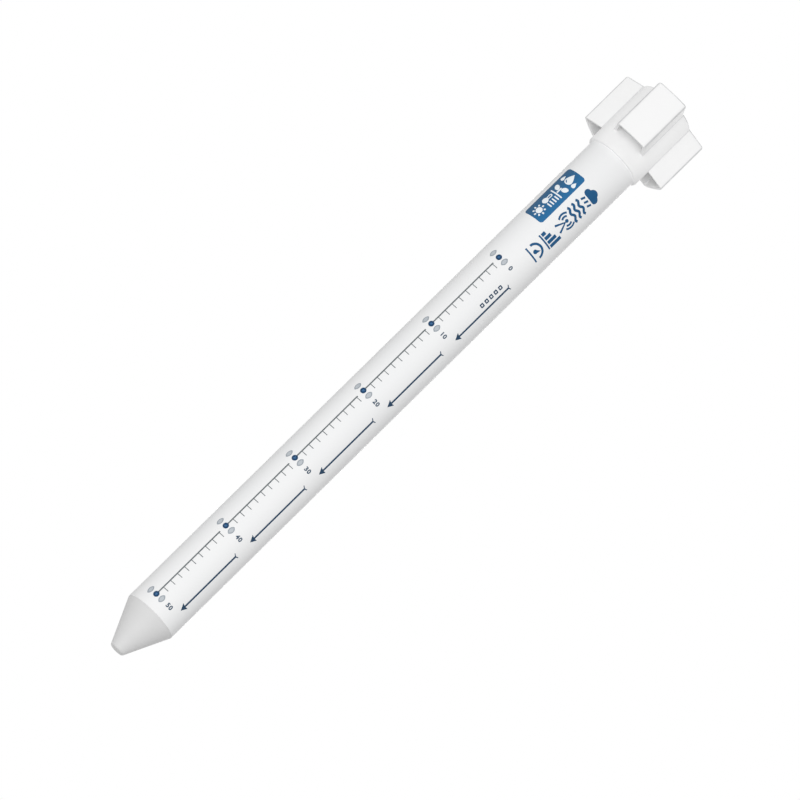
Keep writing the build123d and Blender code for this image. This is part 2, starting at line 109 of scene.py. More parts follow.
# %% [markdown]
# ## Camera
# The photograph was taken from far away with a long lens, a little below the probe and a little to its
# right, and the picture was turned so that the probe lies along the diagonal. A camera could be aimed by
# eye, but the six printed marks and the tube's edges fix its angles exactly. It is placed by them: its
# back points from the aim to the lens, and its right and up axes are turned by the roll.

# %% Camera
VIEW_AZIMUTH = math.radians(6.56)
VIEW_ELEVATION = math.radians(-14.65)
VIEW_ROLL = math.radians(-45.48)
VIEW_DISTANCE = 7.251
PICTURE_SIDE = 800
FOCAL_PIXELS = 7123.0
SENSOR_WIDTH = 36.0
AIM_POINT = Vector((0, 0, -0.150))
AIM_PIXEL = (400.84, 370.23)

back = Vector((math.sin(VIEW_AZIMUTH) * math.cos(VIEW_ELEVATION),
               -math.cos(VIEW_AZIMUTH) * math.cos(VIEW_ELEVATION),
               math.sin(VIEW_ELEVATION)))
level = Vector((math.cos(VIEW_AZIMUTH), math.sin(VIEW_AZIMUTH), 0))
upright = back.cross(level)
right = level * math.cos(VIEW_ROLL) - upright * math.sin(VIEW_ROLL)
up = level * math.sin(VIEW_ROLL) + upright * math.cos(VIEW_ROLL)

eye = AIM_POINT + back * VIEW_DISTANCE
pixel = VIEW_DISTANCE / FOCAL_PIXELS
middle = AIM_POINT - right * (AIM_PIXEL[0] - PICTURE_SIDE / 2) * pixel
middle -= up * (PICTURE_SIDE / 2 - AIM_PIXEL[1]) * pixel
back = (eye - middle).normalized()
right = up.cross(back).normalized()
up = back.cross(right)

lens = bpy.data.cameras.new("camera")
lens.sensor_width = SENSOR_WIDTH
lens.lens = SENSOR_WIDTH * FOCAL_PIXELS / PICTURE_SIDE
lens.clip_end = 4 * VIEW_DISTANCE
camera = bpy.data.objects.new("camera", lens)
bpy.context.collection.objects.link(camera)
camera.matrix_world = Matrix.Translation(eye) @ Matrix((right, up, back)).transposed().to_4x4()
bpy.context.scene.camera = camera
print("lens", round(lens.lens, 1), "mm, camera at", [round(c, 2) for c in eye])

# %% [markdown]
# ## Stage
# The photograph has a white ground with no horizon. A bright lamp on a backdrop would wash out the white
# probe as well. Here the world is white where the camera, a reflection or clear plastic looks at it, and
# a softer grey where it only lights the probe, so the two are set apart. The floor is a pale disc under
# the point that fades out towards its rim. The camera stands lower than the point, so the floor has one
# side only: seen from below it isn't there. It takes the probe's shadow and throws no light back.

# %% World
AMBIENT = 0.49
scene = bpy.context.scene
scene.view_settings.view_transform = "Standard"
world = bpy.data.worlds.new("studio")
scene.world = world
world.use_nodes = True
tree = world.node_tree
tree.nodes.clear()
path = add(tree, "ShaderNodeLightPath").outputs
seen = path["Is Camera Ray"]
for ray in ("Is Glossy Ray", "Is Transmission Ray"):
    seen = add(tree, "ShaderNodeMath", {0: seen, 1: path[ray]}, operation="MAXIMUM").outputs[0]
strength = add(tree, "ShaderNodeMapRange", {"Value": seen, "To Min": AMBIENT, "To Max": 1.0})
sky = add(tree, "ShaderNodeBackground", {"Color": linear("ffffff"), "Strength": strength.outputs[0]})
add(tree, "ShaderNodeOutputWorld", {"Surface": sky.outputs[0]})
print("the world is seen as white and lights the probe with", AMBIENT)

# %% Floor
FLOOR_RADIUS = 3.0
FLOOR_SOLID = 0.7
FLOOR_GAP = 0.4 * MM
FLOOR_SIDES = 96

paper = bpy.data.materials.new("pale studio paper")
paper.use_nodes = True
tree = paper.node_tree
tree.nodes.clear()
spot = add(tree, "ShaderNodeTexCoord").outputs["Object"]
reach = add(tree, "ShaderNodeVectorMath", {0: spot}, operation="LENGTH")
fade = add(tree, "ShaderNodeMapRange", {"Value": reach.outputs["Value"], "From Min": FLOOR_SOLID,
                                        "From Max": FLOOR_RADIUS}, interpolation_type="SMOOTHSTEP")
below = add(tree, "ShaderNodeNewGeometry").outputs["Backfacing"]
clear = add(tree, "ShaderNodeMath", {0: fade.outputs[0], 1: below}, operation="MAXIMUM")
matt = add(tree, "ShaderNodeBsdfDiffuse", {"Color": linear("fcfcfb"), "Roughness": 0.6})
gone = add(tree, "ShaderNodeBsdfTransparent")
both = add(tree, "ShaderNodeMixShader", {0: clear.outputs[0], 1: matt.outputs[0], 2: gone.outputs[0]})
add(tree, "ShaderNodeOutputMaterial", {"Surface": both.outputs[0]})

disc = bmesh.new()
bmesh.ops.create_circle(disc, cap_ends=True, segments=FLOOR_SIDES, radius=FLOOR_RADIUS)
bmesh.ops.translate(disc, verts=disc.verts, vec=(0, 0, cad_box[0].z - FLOOR_GAP))
mesh = bpy.data.meshes.new("floor")
disc.to_mesh(mesh)
disc.free()
mesh.materials.append(paper)
floor = bpy.data.objects.new("floor", mesh)
bpy.context.collection.objects.link(floor)
floor.visible_diffuse = False
floor.visible_glossy = False
floor.visible_shadow = False
print("floor at", round(cad_box[0].z / MM, 1), "mm")

# %% [markdown]
# ## Light
# A product table has one broad soft lamp near the camera and weaker ones behind and above. The broad
# lamp stands a little to the left of the camera, so the tube is brightest in the middle and falls off
# to both sides, more to the right. The one behind keeps the back of the probe readable from other
# sides, and the one above lights the top of the cap and the floor. A lamp's watts could be tried out by
# hand. They are worked out instead from a level: a white card that faces the lamp at its aim then shines
# with that share of white.

# %% Lamps
LAMP_DISTANCE = 3.6
LAMP_WIDTH = 3.0
# Each lamp: degrees to the right of the front, degrees up, and its level.
LAMPS = {"key_lamp": (-1, -8, 0.56),
         "back_lamp": (180, 24, 0.40),
         "top_lamp": (0, 90, 0.24)}


def towards(azimuth, elevation):
    """Direction from the probe to a lamp, by degrees to the right of the front and degrees up."""
    turn, tilt = math.radians(azimuth), math.radians(elevation)
    return Vector((math.sin(turn) * math.cos(tilt), -math.cos(turn) * math.cos(tilt), math.sin(tilt)))


def stand(lamp, way, distance, aim):
    """Puts a lamp at a distance from its aim, facing it."""
    holder = bpy.data.objects.new(lamp.name, lamp)
    bpy.context.collection.objects.link(holder)
    holder.location = aim + way * distance
    holder.rotation_euler = way.to_track_quat("Z", "Y").to_euler()
    holder.visible_camera = False
    print(lamp.name, round(lamp.energy, 1), "W at", [round(c, 2) for c in holder.location])


for name, (azimuth, elevation, brightness) in LAMPS.items():
    lamp = bpy.data.lights.new(name, "AREA")
    lamp.shape = "DISK"
    lamp.size = LAMP_WIDTH
    lamp.energy = brightness * (math.pi * LAMP_DISTANCE) ** 2
    stand(lamp, towards(azimuth, elevation), LAMP_DISTANCE, AIM_POINT)

# %% [markdown]
# ## Light on the cap
# In the photograph the flanks of the cap are as bright as its front, while the tube beside it falls off.
# Another broad lamp would flatten the tube too, so two narrow spots, left and right, reach only the cap.
# A spot's watts are counted over a whole ball of directions, while a disc sends its own to one side and
# mostly straight ahead. So a spot needs four times as many for the same level.

# %% Lamps for the cap
CAP_DISTANCE = 2.0
CAP_TILT = -6
CAP_SPOT = math.radians(5.0)
CAP_SPOT_BLEND = 0.6
CAP_LAMP_RADIUS = 0.03
SPOT_PER_DISC = 4
AIM_BELOW_TOP = 12 * MM
# Each lamp: degrees to the right of the front, and its level.
CAP_LAMPS = {"cap_lamp_left": (-110, 0.11), "cap_lamp_right": (110, 0.21)}
cap_aim = Vector((0, 0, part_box("head_cap")[1].z - AIM_BELOW_TOP))
for name, (azimuth, brightness) in CAP_LAMPS.items():
    lamp = bpy.data.lights.new(name, "SPOT")
    lamp.shadow_soft_size = CAP_LAMP_RADIUS
    lamp.spot_size = CAP_SPOT
    lamp.spot_blend = CAP_SPOT_BLEND
    lamp.energy = brightness * SPOT_PER_DISC * (math.pi * CAP_DISTANCE) ** 2
    stand(lamp, towards(azimuth, CAP_TILT), CAP_DISTANCE, cap_aim)

# %% [markdown]
# ## Plastics of the shell
# The tube is extruded rigid PVC: white, satin, with faint draw lines along its length where the die
# dragged. The point is turned from grey nylon rod and keeps the tool's fine rings. Such marks are far
# too fine to model, so each is a texture on Object coordinates, at a scale worked out from its size in
# millimetres. Real draw lines are a tenth of this width, too fine for this picture, so they are drawn
# coarser.


# %% A blank finish
def blank_finish(name):
    """New material: returns it with its tree, its shader and the place on the object."""
    material = bpy.data.materials.new(name)
    material.use_nodes = True
    tree = material.node_tree
    spot = add(tree, "ShaderNodeTexCoord").outputs["Object"]
    return material, tree, tree.nodes["Principled BSDF"], spot


finishes = {}
print("finishes are kept by the names of the record's material slots")

# %% Extruded tube
DRAW_LINE = 1.1 * MM
DRAW_LENGTH = 160 * MM
DRAW_DEPTH = 0.006 * MM
TUBE_PATCH = 60 * MM
TUBE_SHINE = 0.12
pvc, tree, shader, spot = blank_finish("extruded white PVC")
per_line = (1 / DRAW_LINE, 1 / DRAW_LINE, 1 / DRAW_LENGTH)
drawn = add(tree, "ShaderNodeMapping", {"Vector": spot, "Scale": per_line}).outputs[0]
lines = add(tree, "ShaderNodeTexNoise", {"Vector": drawn, "Scale": 1.0, "Detail": 2.0}).outputs[0]
drift = add(tree, "ShaderNodeTexNoise",
            {"Vector": spot, "Scale": 1 / TUBE_PATCH, "Detail": 1.0}).outputs[0]
tint = add(tree, "ShaderNodeMix", {0: drift, 6: linear("f3f4f5"), 7: linear("f6f6f6")}, data_type="RGBA")
gloss = add(tree, "ShaderNodeMapRange", {"Value": lines, "To Min": 0.50, "To Max": 0.60})
ridge = add(tree, "ShaderNodeBump", {"Height": lines, "Distance": DRAW_DEPTH, "Strength": 0.5})
wire(tree, shader, {"Base Color": tint.outputs[2], "Roughness": gloss.outputs[0],
                    "Normal": ridge.outputs[0], "IOR": 1.53, "Specular IOR Level": TUBE_SHINE})
finishes["tube_pvc"] = pvc
print(pvc.name, "with draw lines", round(DRAW_LINE / MM, 2), "mm wide")

# %% Turned point
TOOL_PITCH = 0.8 * MM
TOOL_DEPTH = 0.01 * MM
POINT_PATCH = 18 * MM
# A wave texture of scale 1 repeats after this length.
WAVE_PERIOD = math.pi / 10
nylon, tree, shader, spot = blank_finish("turned light grey nylon")
rings = add(tree, "ShaderNodeTexWave",
            {"Vector": spot, "Scale": WAVE_PERIOD / TOOL_PITCH, "Distortion": 0.4},
            bands_direction="Z").outputs["Fac"]
drift = add(tree, "ShaderNodeTexNoise",
            {"Vector": spot, "Scale": 1 / POINT_PATCH, "Detail": 2.0}).outputs[0]
tint = add(tree, "ShaderNodeMix", {0: drift, 6: linear("dcdcdc"), 7: linear("e2e2e2")}, data_type="RGBA")
gloss = add(tree, "ShaderNodeMapRange", {"Value": rings, "To Min": 0.45, "To Max": 0.56})
ridge = add(tree, "ShaderNodeBump", {"Height": rings, "Distance": TOOL_DEPTH, "Strength": 0.4})
wire(tree, shader, {"Base Color": tint.outputs[2], "Roughness": gloss.outputs[0],
                    "Normal": ridge.outputs[0], "IOR": 1.53})
finishes["point_nylon"] = nylon
print(nylon.name, "with rings", round(TOOL_PITCH / MM, 2), "mm apart")

# %% [markdown]
# ## Moulded plastics and rubber
# Most other pieces come out of a mould, and the mould's spark-eroded skin leaves the same kind of mark on
# all of them: a fine even grain that breaks up the gloss, and a slow drift of the colour. A tree for each
# would repeat itself, so one function makes them, with the grain's size and depth in millimetres.


# %% Moulded finish
PLASTIC_SHINE = 0.35
DRIFT_PER_GRAIN = 30
MOULD_GLOSS = 0.06


def moulded(name, dark, light, grain, depth, rough, shine=PLASTIC_SHINE):
    """Moulded plastic: two near colours, the mould's grain, and a roughness that follows the grain."""
    material, tree, shader, spot = blank_finish(name)
    fine, slow = 1 / (grain * MM), 1 / (DRIFT_PER_GRAIN * grain * MM)
    skin = add(tree, "ShaderNodeTexNoise", {"Vector": spot, "Scale": fine, "Detail": 3.0}).outputs[0]
    drift = add(tree, "ShaderNodeTexNoise", {"Vector": spot, "Scale": slow}).outputs[0]
    tint = add(tree, "ShaderNodeMix", {0: drift, 6: linear(dark), 7: linear(light)}, data_type="RGBA")
    gloss = add(tree, "ShaderNodeMapRange",
                {"Value": skin, "To Min": rough - MOULD_GLOSS, "To Max": rough + MOULD_GLOSS})
    relief = add(tree, "ShaderNodeBump", {"Height": skin, "Distance": depth * MM, "Strength": 0.5})
    wire(tree, shader, {"Base Color": tint.outputs[2], "Roughness": gloss.outputs[0],
                        "Normal": relief.outputs[0], "IOR": 1.52, "Specular IOR Level": shine})
    return material


print("a drift of the colour is", DRIFT_PER_GRAIN, "grains wide")

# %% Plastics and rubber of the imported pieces
CAP_SHINE = 0.1
# Weatherproof ASA is satin and scatters light softly, so the cap shows no sharp highlight.
finishes["cap_asa"] = moulded("moulded white ASA", "f9f9f9", "fcfcfc", 0.9, 0.012, 0.66, CAP_SHINE)
# EPDM rubber is matt black with a dull grey sheen at its edges.
finishes["seal_rubber"] = moulded("black EPDM rubber", "141414", "1e1e1d", 0.5, 0.02, 0.72)
# Glass fibres rise to the skin of filled nylon and mottle its grey.
finishes["bulkhead_plastic"] = moulded("grey glass-filled nylon", "b4b6b8", "c6c7c8", 0.6, 0.02, 0.55)
# Plain black ABS keeps the mould's grain, so it turns dark grey where light grazes it.
finishes["carrier_plastic"] = moulded("black moulded ABS", "1b1b1d", "262628", 0.7, 0.015, 0.5)
# Shrink sleeve is thin smooth PVC, so it is the shiniest plastic here.
finishes["cell_sleeve"] = moulded("green PVC shrink sleeve", "1d6b45", "258054", 2.5, 0.03, 0.28)
# Silicone is soft and draws dust: a strong red with no sharp gloss.
finishes["lead_insulation"] = moulded("red silicone lead sleeve", "9e1f1c", "b3282a", 0.4, 0.01, 0.58)
# A card is pressed between polished plates, so it is white, even and nearly smooth.
finishes["card_plastic"] = moulded("white card PVC", "e6e7e6", "f0f0ee", 0.5, 0.004, 0.36)
# Natural nylon is milky and slightly yellow.
finishes["connector_plastic"] = moulded("natural nylon", "ddd9c8", "e8e5d8", 0.4, 0.01, 0.45)
# PBT is a hard dense black with a low satin gloss.
finishes["switch_plastic"] = moulded("black PBT", "18181a", "232325", 0.35, 0.01, 0.42)
# The button's mould is polished, so its red carries a small clear highlight.
finishes["button_plastic"] = moulded("red ABS", "b5221c", "c42c24", 0.35, 0.006, 0.32)
# Acetal is waxy: off-white, and soft in its reflections.
finishes["bobbin_plastic"] = moulded("natural acetal", "e4e4de", "efefeb", 0.6, 0.01, 0.4)
print(len(finishes), "slots so far")

# %% Mouldings of the small electronic parts
# Chip epoxy is full of ground silica, which makes it charcoal rather than black, and quite matt.
epoxy = moulded("black chip epoxy", "1f2021", "2a2b2c", 0.25, 0.012, 0.62)
# Ferrite is pressed powder: dark grey, dull and a little pitted.
ferrite = moulded("pressed grey ferrite", "3e4042", "4c4e50", 0.3, 0.02, 0.7)
# The capacitors' epoxy is cast smooth, in an even ochre.
tantalum = moulded("ochre capacitor epoxy", "b98a2d", "c99b3c", 0.3, 0.008, 0.45)
# Fired ceramic is tan and dry, with hardly any grain at this size.
ceramic = moulded("fired tan ceramic", "a08a6a", "b09a78", 0.2, 0.004, 0.5)
# The antenna's board has no copper but one track, so its lacquer is plain, dark and smooth.
antenna_lacquer = moulded("green lacquer without copper", "115a38", "16653f", 0.5, 0.006, 0.34)
print([each.name for each in (epoxy, ferrite, tantalum, ceramic, antenna_lacquer)])

# %% [markdown]
# ## Handled edges of the cap, and painted shade
# The cap is pulled off by its lobes, so their edges and the rim are greyed: partly as wear, and partly
# as painted shade that draws a dark outline along them. The creases beside the core get painted shade.
# The grey could be painted by hand, but the edges follow a rule.
# The three lobes are alike, so the place on the cap is first folded into one of them: the angle round
# the axis bounces between the middle of a lobe and the middle of a gap. In that folded plan an upright
# edge is a point, and the distance to it says how grey the plastic is. The rim is a band of height that
# stops just below the flat top. A slow noise makes the wear and the painted shade uneven.

# %% Fold the cap into one lobe
LOBE_HALF_TURN = math.radians(60)
tree = finishes["cap_asa"].node_tree
spot = add(tree, "ShaderNodeTexCoord").outputs["Object"]
part_of = add(tree, "ShaderNodeSeparateXYZ", {0: spot}).outputs
ahead = add(tree, "ShaderNodeMath", {0: part_of["Y"], 1: -1.0}, operation="MULTIPLY").outputs[0]
bearing = add(tree, "ShaderNodeMath", {0: part_of["X"], 1: ahead}, operation="ARCTAN2").outputs[0]
folded = add(tree, "ShaderNodeMath", {0: bearing, 1: LOBE_HALF_TURN}, operation="PINGPONG").outputs[0]
level_spot = add(tree, "ShaderNodeCombineXYZ", {"X": part_of["X"], "Y": part_of["Y"]}).outputs[0]
reach = add(tree, "ShaderNodeVectorMath", {0: level_spot}, operation="LENGTH").outputs["Value"]
spoke = add(tree, "ShaderNodeCombineXYZ", {"X": reach}).outputs[0]
plan = add(tree, "ShaderNodeVectorRotate", {"Vector": spoke, "Angle": folded},
           rotation_type="Z_AXIS").outputs[0]
print("one lobe spans", round(math.degrees(2 * LOBE_HALF_TURN)), "degrees of the cap")

# %% Worn edges and painted shade
UNEVEN_PATCH = 12 * MM
SKIRT_HEIGHT = 19.0 * MM
cap_low, cap_high = (corner.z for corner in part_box("head_cap"))
lobe_foot = cap_low + SKIRT_HEIGHT
# The rim is greyed along its edge: painted shade as a dark outline, and some wear.
# Each band of height: where its grey starts and where it is full.
BANDS = {"rim": (cap_high - 2.4 * MM, cap_high - 1.3 * MM),
         "below the top": (cap_high - 0.28 * MM, cap_high - 0.60 * MM),
         "on the lobes": (lobe_foot - 0.5 * MM, lobe_foot + 1.0 * MM)}
# Each upright edge: its place in the folded plan, how far from it the grey of wear and painted shade
# starts and is full, all in mm, and how strong it gets.
# The crease between a lobe and the core is painted shade, grey where shade falls in the crease.
CREASE = ((26.3, 19.9, 0), 1.6, 0.3, 0.6)
# A lobe's outer corner is painted shade as a dark outline, and some wear.
CORNER = ((51.9, 18.8, 0), 2.2, 0.7, 1.0)

band = {}
for name, (start, full) in BANDS.items():
    band[name] = add(tree, "ShaderNodeMapRange",
                     {"Value": part_of["Z"], "From Min": start, "From Max": full},
                     interpolation_type="SMOOTHSTEP").outputs[0]
wear_and_shade = add(tree, "ShaderNodeMath", {0: band["rim"], 1: band["below the top"]},
           operation="MULTIPLY").outputs[0]
for place, start, full, most in (CREASE, CORNER):
    away = add(tree, "ShaderNodeVectorMath", {0: plan, 1: Vector(place) * MM},
               operation="DISTANCE").outputs["Value"]
    dulled_and_shaded = add(tree, "ShaderNodeMapRange",
               {"Value": away, "From Min": start * MM, "From Max": full * MM, "To Max": most},
               interpolation_type="SMOOTHSTEP").outputs[0]
    dulled_and_shaded = add(tree, "ShaderNodeMath", {0: dulled_and_shaded, 1: band["on the lobes"]},
               operation="MULTIPLY").outputs[0]
    wear_and_shade = add(tree, "ShaderNodeMath", {0: wear_and_shade, 1: dulled_and_shaded}, operation="MAXIMUM").outputs[0]
patchy = add(tree, "ShaderNodeTexNoise",
            {"Vector": spot, "Scale": 1 / UNEVEN_PATCH, "Detail": 2.0}).outputs[0]
patchy = add(tree, "ShaderNodeMapRange",
            {"Value": patchy, "From Min": 0.35, "From Max": 0.65, "To Min": 0.65}).outputs[0]
wear_and_shade = add(tree, "ShaderNodeMath", {0: wear_and_shade, 1: patchy}, operation="MULTIPLY").outputs[0]
shader = tree.nodes["Principled BSDF"]
fresh = shader.inputs["Base Color"].links[0].from_socket
# The grey mixed into the white is painted shade in the creases, and painted shade with wear at the edges.
worn_and_shaded = add(tree, "ShaderNodeMix", {0: wear_and_shade, 6: fresh, 7: linear("d2d3d4")}, data_type="RGBA").outputs[2]
wire(tree, shader, {"Base Color": worn_and_shaded})
print("rim at", round(cap_high / MM, 1), "mm, foot of the lobes at", round(lobe_foot / MM, 1), "mm")

# %% [markdown]
# ## Metals
# A metal's colour is its reflection, so its base colour is the tint of that reflection and its IOR stays
# at the default. Rolled and plated strip shows fine lines along the way it was drawn. An anisotropic
# shader would only stretch the highlight, so the lines themselves are drawn: a grain that is stretched
# along that way, by a small scale on one axis or two.


# %% Rolled metal
ROLL_DEPTH = 0.004 * MM
ROLL_GLOSS = 0.08


def rolled(name, dark, light, grain, way, rough):
    """Metal with the lines of its rolling: grain is their width in mm, and way stretches them."""
    material, tree, shader, spot = blank_finish(name)
    scale = [share / (grain * MM) for share in way]
    along = add(tree, "ShaderNodeMapping", {"Vector": spot, "Scale": scale}).outputs[0]
    lines = add(tree, "ShaderNodeTexNoise", {"Vector": along, "Scale": 1.0, "Detail": 3.0}).outputs[0]
    tint = add(tree, "ShaderNodeMix", {0: lines, 6: linear(dark), 7: linear(light)}, data_type="RGBA")
    gloss = add(tree, "ShaderNodeMapRange",
                {"Value": lines, "To Min": rough - ROLL_GLOSS, "To Max": rough + ROLL_GLOSS})
    relief = add(tree, "ShaderNodeBump", {"Height": lines, "Distance": ROLL_DEPTH, "Strength": 0.4})
    wire(tree, shader, {"Base Color": tint.outputs[2], "Roughness": gloss.outputs[0],
                        "Normal": relief.outputs[0], "Metallic": 1.0})
    return material


print("the lines of a rolled metal are", round(ROLL_DEPTH / MM, 3), "mm deep")

# %% Metal finishes
ALONG_SPRING, ALONG_LID, ALONG_PROBE = (0.06, 1, 1), (0.3, 1, 1), (1, 0.1, 1)
ROUND_RING, EVEN = (0.15, 0.15, 1), (1, 1, 1)
# Nickel is a warm silver, and the lines run along the spring.
finishes["contact_metal"] = rolled("nickel-plated spring steel", "b9b5aa", "cbc8be", 0.3,
                                   ALONG_SPRING, 0.3)
# Tin plate is greyer and cloudier than nickel, so a lid of it reflects softly.
finishes["shield_can"] = rolled("tin-plated steel", "9fa1a2", "b2b4b4", 0.5, ALONG_LID, 0.46)
# Brass is a yellow mirror. Its rod was drawn before it was turned, so fine lines run along the probe.
finishes["probe_brass"] = rolled("turned brass", "b58b3c", "caa356", 0.25, ALONG_PROBE, 0.3)
# Copper strip is salmon pink, with its lines round the ring.
finishes["ring_copper"] = rolled("rolled copper strip", "b5704c", "c98561", 0.3, ROUND_RING, 0.32)
# Stainless steel is a neutral grey, even in all directions.
finishes["screw_steel"] = rolled("stainless steel", "a9aaa9", "bebfbd", 0.2, EVEN, 0.3)
# Solder freezes bright and a little wavy.
solder = rolled("bright solder tin", "bcbdbc", "d2d3d1", 0.4, EVEN, 0.26)
# A flash of gold over copper is deep yellow and stays bright.
gold = rolled("gold-plated copper", "c79a3f", "dab35a", 0.3, EVEN, 0.28)
print(len(finishes), "slots so far")

# %% [markdown]
# ## Circuit boards
# A board is green lacquer over copper. The copper shows through as lighter tracks, which run in bundles
# across one patch of the board and upright in the next, and some patches are plain copper. Drawing real
# tracks would take hundreds of outlines, and no one follows them in a picture. The gaps of a brick
# pattern give such bundles, and the cells of a square-cornered Voronoi pattern choose their way. The
# points of another Voronoi pattern give the tinned holes that join the two sides. The lacquer covers only
# the two faces, which look forwards and back, so the narrow edges show the bare straw-coloured laminate.

# %% Copper under the lacquer
TRACK_RUN = 17.0 * MM
TRACK_PITCH = 0.95 * MM
TRACK_WIDTH = 0.16 * MM
TRACK_PATCH = 8.0 * MM
# Shares of the patches: those whose tracks run upright, and those of plain copper.
UPRIGHT_SHARE, PLAIN_SHARE = 0.5, 0.3
laminate, tree, shader, spot = blank_finish("green solder mask on FR-4")
normal = add(tree, "ShaderNodeTexCoord").outputs["Normal"]
slant = add(tree, "ShaderNodeSeparateXYZ", {0: normal}).outputs["Y"]
slant = add(tree, "ShaderNodeMath", {0: slant}, operation="ABSOLUTE").outputs[0]
coated = add(tree, "ShaderNodeMath", {0: slant, 1: 0.5}, operation="GREATER_THAN").outputs[0]
facing = add(tree, "ShaderNodeMapping", {"Vector": spot, "Rotation": (-math.pi / 2, 0, 0)}).outputs[0]
sideways = add(tree, "ShaderNodeVectorRotate", {"Vector": facing, "Angle": math.pi / 2},
               rotation_type="Z_AXIS").outputs[0]
bundles = [add(tree, "ShaderNodeTexBrick",
               {"Vector": way, "Scale": 1.0, "Brick Width": TRACK_RUN, "Row Height": TRACK_PITCH,
                "Mortar Size": TRACK_WIDTH, "Mortar Smooth": 0.1},
               offset=0.37, offset_frequency=3).outputs["Fac"] for way in (facing, sideways)]
patch = add(tree, "ShaderNodeTexVoronoi", {"Vector": facing, "Scale": 1 / TRACK_PATCH},
            voronoi_dimensions="2D", distance="CHEBYCHEV").outputs["Color"]
chance = add(tree, "ShaderNodeSeparateColor", {0: patch}).outputs
upright_run = add(tree, "ShaderNodeMath", {0: chance["Red"], 1: 1 - UPRIGHT_SHARE},
                  operation="GREATER_THAN").outputs[0]
plain = add(tree, "ShaderNodeMath", {0: chance["Green"], 1: 1 - PLAIN_SHARE},
            operation="GREATER_THAN").outputs[0]
tracks = add(tree, "ShaderNodeMix", {0: upright_run, 2: bundles[0], 3: bundles[1]}).outputs[0]
copper = add(tree, "ShaderNodeMath", {0: tracks, 1: plain}, operation="MAXIMUM").outputs[0]
copper = add(tree, "ShaderNodeMath", {0: copper, 1: coated}, operation="MULTIPLY").outputs[0]
print(laminate.name, "with tracks", round(TRACK_PITCH / MM, 2), "mm apart")

# %% Lacquer and tinned holes
TRACK_RISE = 0.03 * MM
HOLE_SPACING = 4.4 * MM
HOLE_SIZE = 0.3 * MM
holes = add(tree, "ShaderNodeTexVoronoi", {"Vector": facing, "Scale": 1 / HOLE_SPACING},
            voronoi_dimensions="2D").outputs["Distance"]
tinned = add(tree, "ShaderNodeMath", {0: holes, 1: HOLE_SIZE / HOLE_SPACING},
             operation="LESS_THAN").outputs[0]
tinned = add(tree, "ShaderNodeMath", {0: tinned, 1: coated}, operation="MULTIPLY").outputs[0]
lacquer = add(tree, "ShaderNodeMix", {0: copper, 6: linear("125f3b"), 7: linear("227a4e")},
              data_type="RGBA").outputs[2]
lacquer = add(tree, "ShaderNodeMix", {0: coated, 6: linear("a7a374"), 7: lacquer},
              data_type="RGBA").outputs[2]
tint = add(tree, "ShaderNodeMix", {0: tinned, 6: lacquer, 7: linear("b9bab3")}, data_type="RGBA")
gloss = add(tree, "ShaderNodeMapRange", {"Value": copper, "To Min": 0.3, "To Max": 0.38})
relief = add(tree, "ShaderNodeBump", {"Height": copper, "Distance": TRACK_RISE, "Strength": 0.6})
wire(tree, shader, {"Base Color": tint.outputs[2], "Roughness": gloss.outputs[0],
                    "Normal": relief.outputs[0], "Metallic": tinned, "IOR": 1.5})
finishes["board_laminate"] = laminate
print("holes about", round(HOLE_SPACING / MM, 1), "mm apart")

# %% [markdown]
# ## Ribbon
# The ribbon is grey PVC with a ridge over each wire, at the usual spacing of 1.27 mm. A dozen small tubes
# side by side would do too. One wave texture across the flat ribbon gives the same ridges, and lets the
# gloss follow them. The colour follows them too, as painted shade: darker in the grooves and
# lighter on the ridges.

# %% Ribbon
WIRE_PITCH = 1.27 * MM
WIRE_RISE = 0.3 * MM
ribbon, tree, shader, spot = blank_finish("grey ribbon PVC")
ridges = add(tree, "ShaderNodeTexWave",
             {"Vector": spot, "Scale": WAVE_PERIOD / WIRE_PITCH}).outputs["Fac"]
# Painted shade: the grey is darker in the grooves between wires and lighter on the ridges.
tint = add(tree, "ShaderNodeMix", {0: ridges, 6: linear("7f8184"), 7: linear("a3a5a8")}, data_type="RGBA")
gloss = add(tree, "ShaderNodeMapRange", {"Value": ridges, "To Min": 0.55, "To Max": 0.42})
relief = add(tree, "ShaderNodeBump", {"Height": ridges, "Distance": WIRE_RISE})
wire(tree, shader, {"Base Color": tint.outputs[2], "Roughness": gloss.outputs[0],
                    "Normal": relief.outputs[0], "IOR": 1.53})
finishes["ribbon_pvc"] = ribbon
print(ribbon.name, "with wires", round(WIRE_PITCH / MM, 2), "mm apart")

# %% [markdown]
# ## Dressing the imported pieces
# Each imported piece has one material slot, and the record says which finish it is made of. So the pieces
# can be dressed by a loop. Only the antenna differs: its board has no copper, and gets its own lacquer.

# %% Put the finishes on
for name, node in nodes.items():
    node.material_slots[0].material = finishes[slot_of[name]]
nodes["cellular_antenna"].material_slots[0].material = antenna_lacquer
print("dressed", len(nodes), "pieces in", len({slot_of[name] for name in nodes}), "finishes")

# %% [markdown]
# ## Printing inks
# The tube is screen printed. The ink is a thin semi-matt film, and its colour is a little uneven because
# the mesh of the screen lays it down in dots. The print could be painted into the tube's own material,
# but then its edges would be as soft as that texture. Here it is a film of its own, so an ink is an
# ordinary material. The large panel was printed in two blues that run into each other from left to right.


# %% Screen ink
SCREEN_MESH = 0.35 * MM
INK_PATCH = 7 * MM
INK_RELIEF = 0.008 * MM
INK_SHINE = 0.25


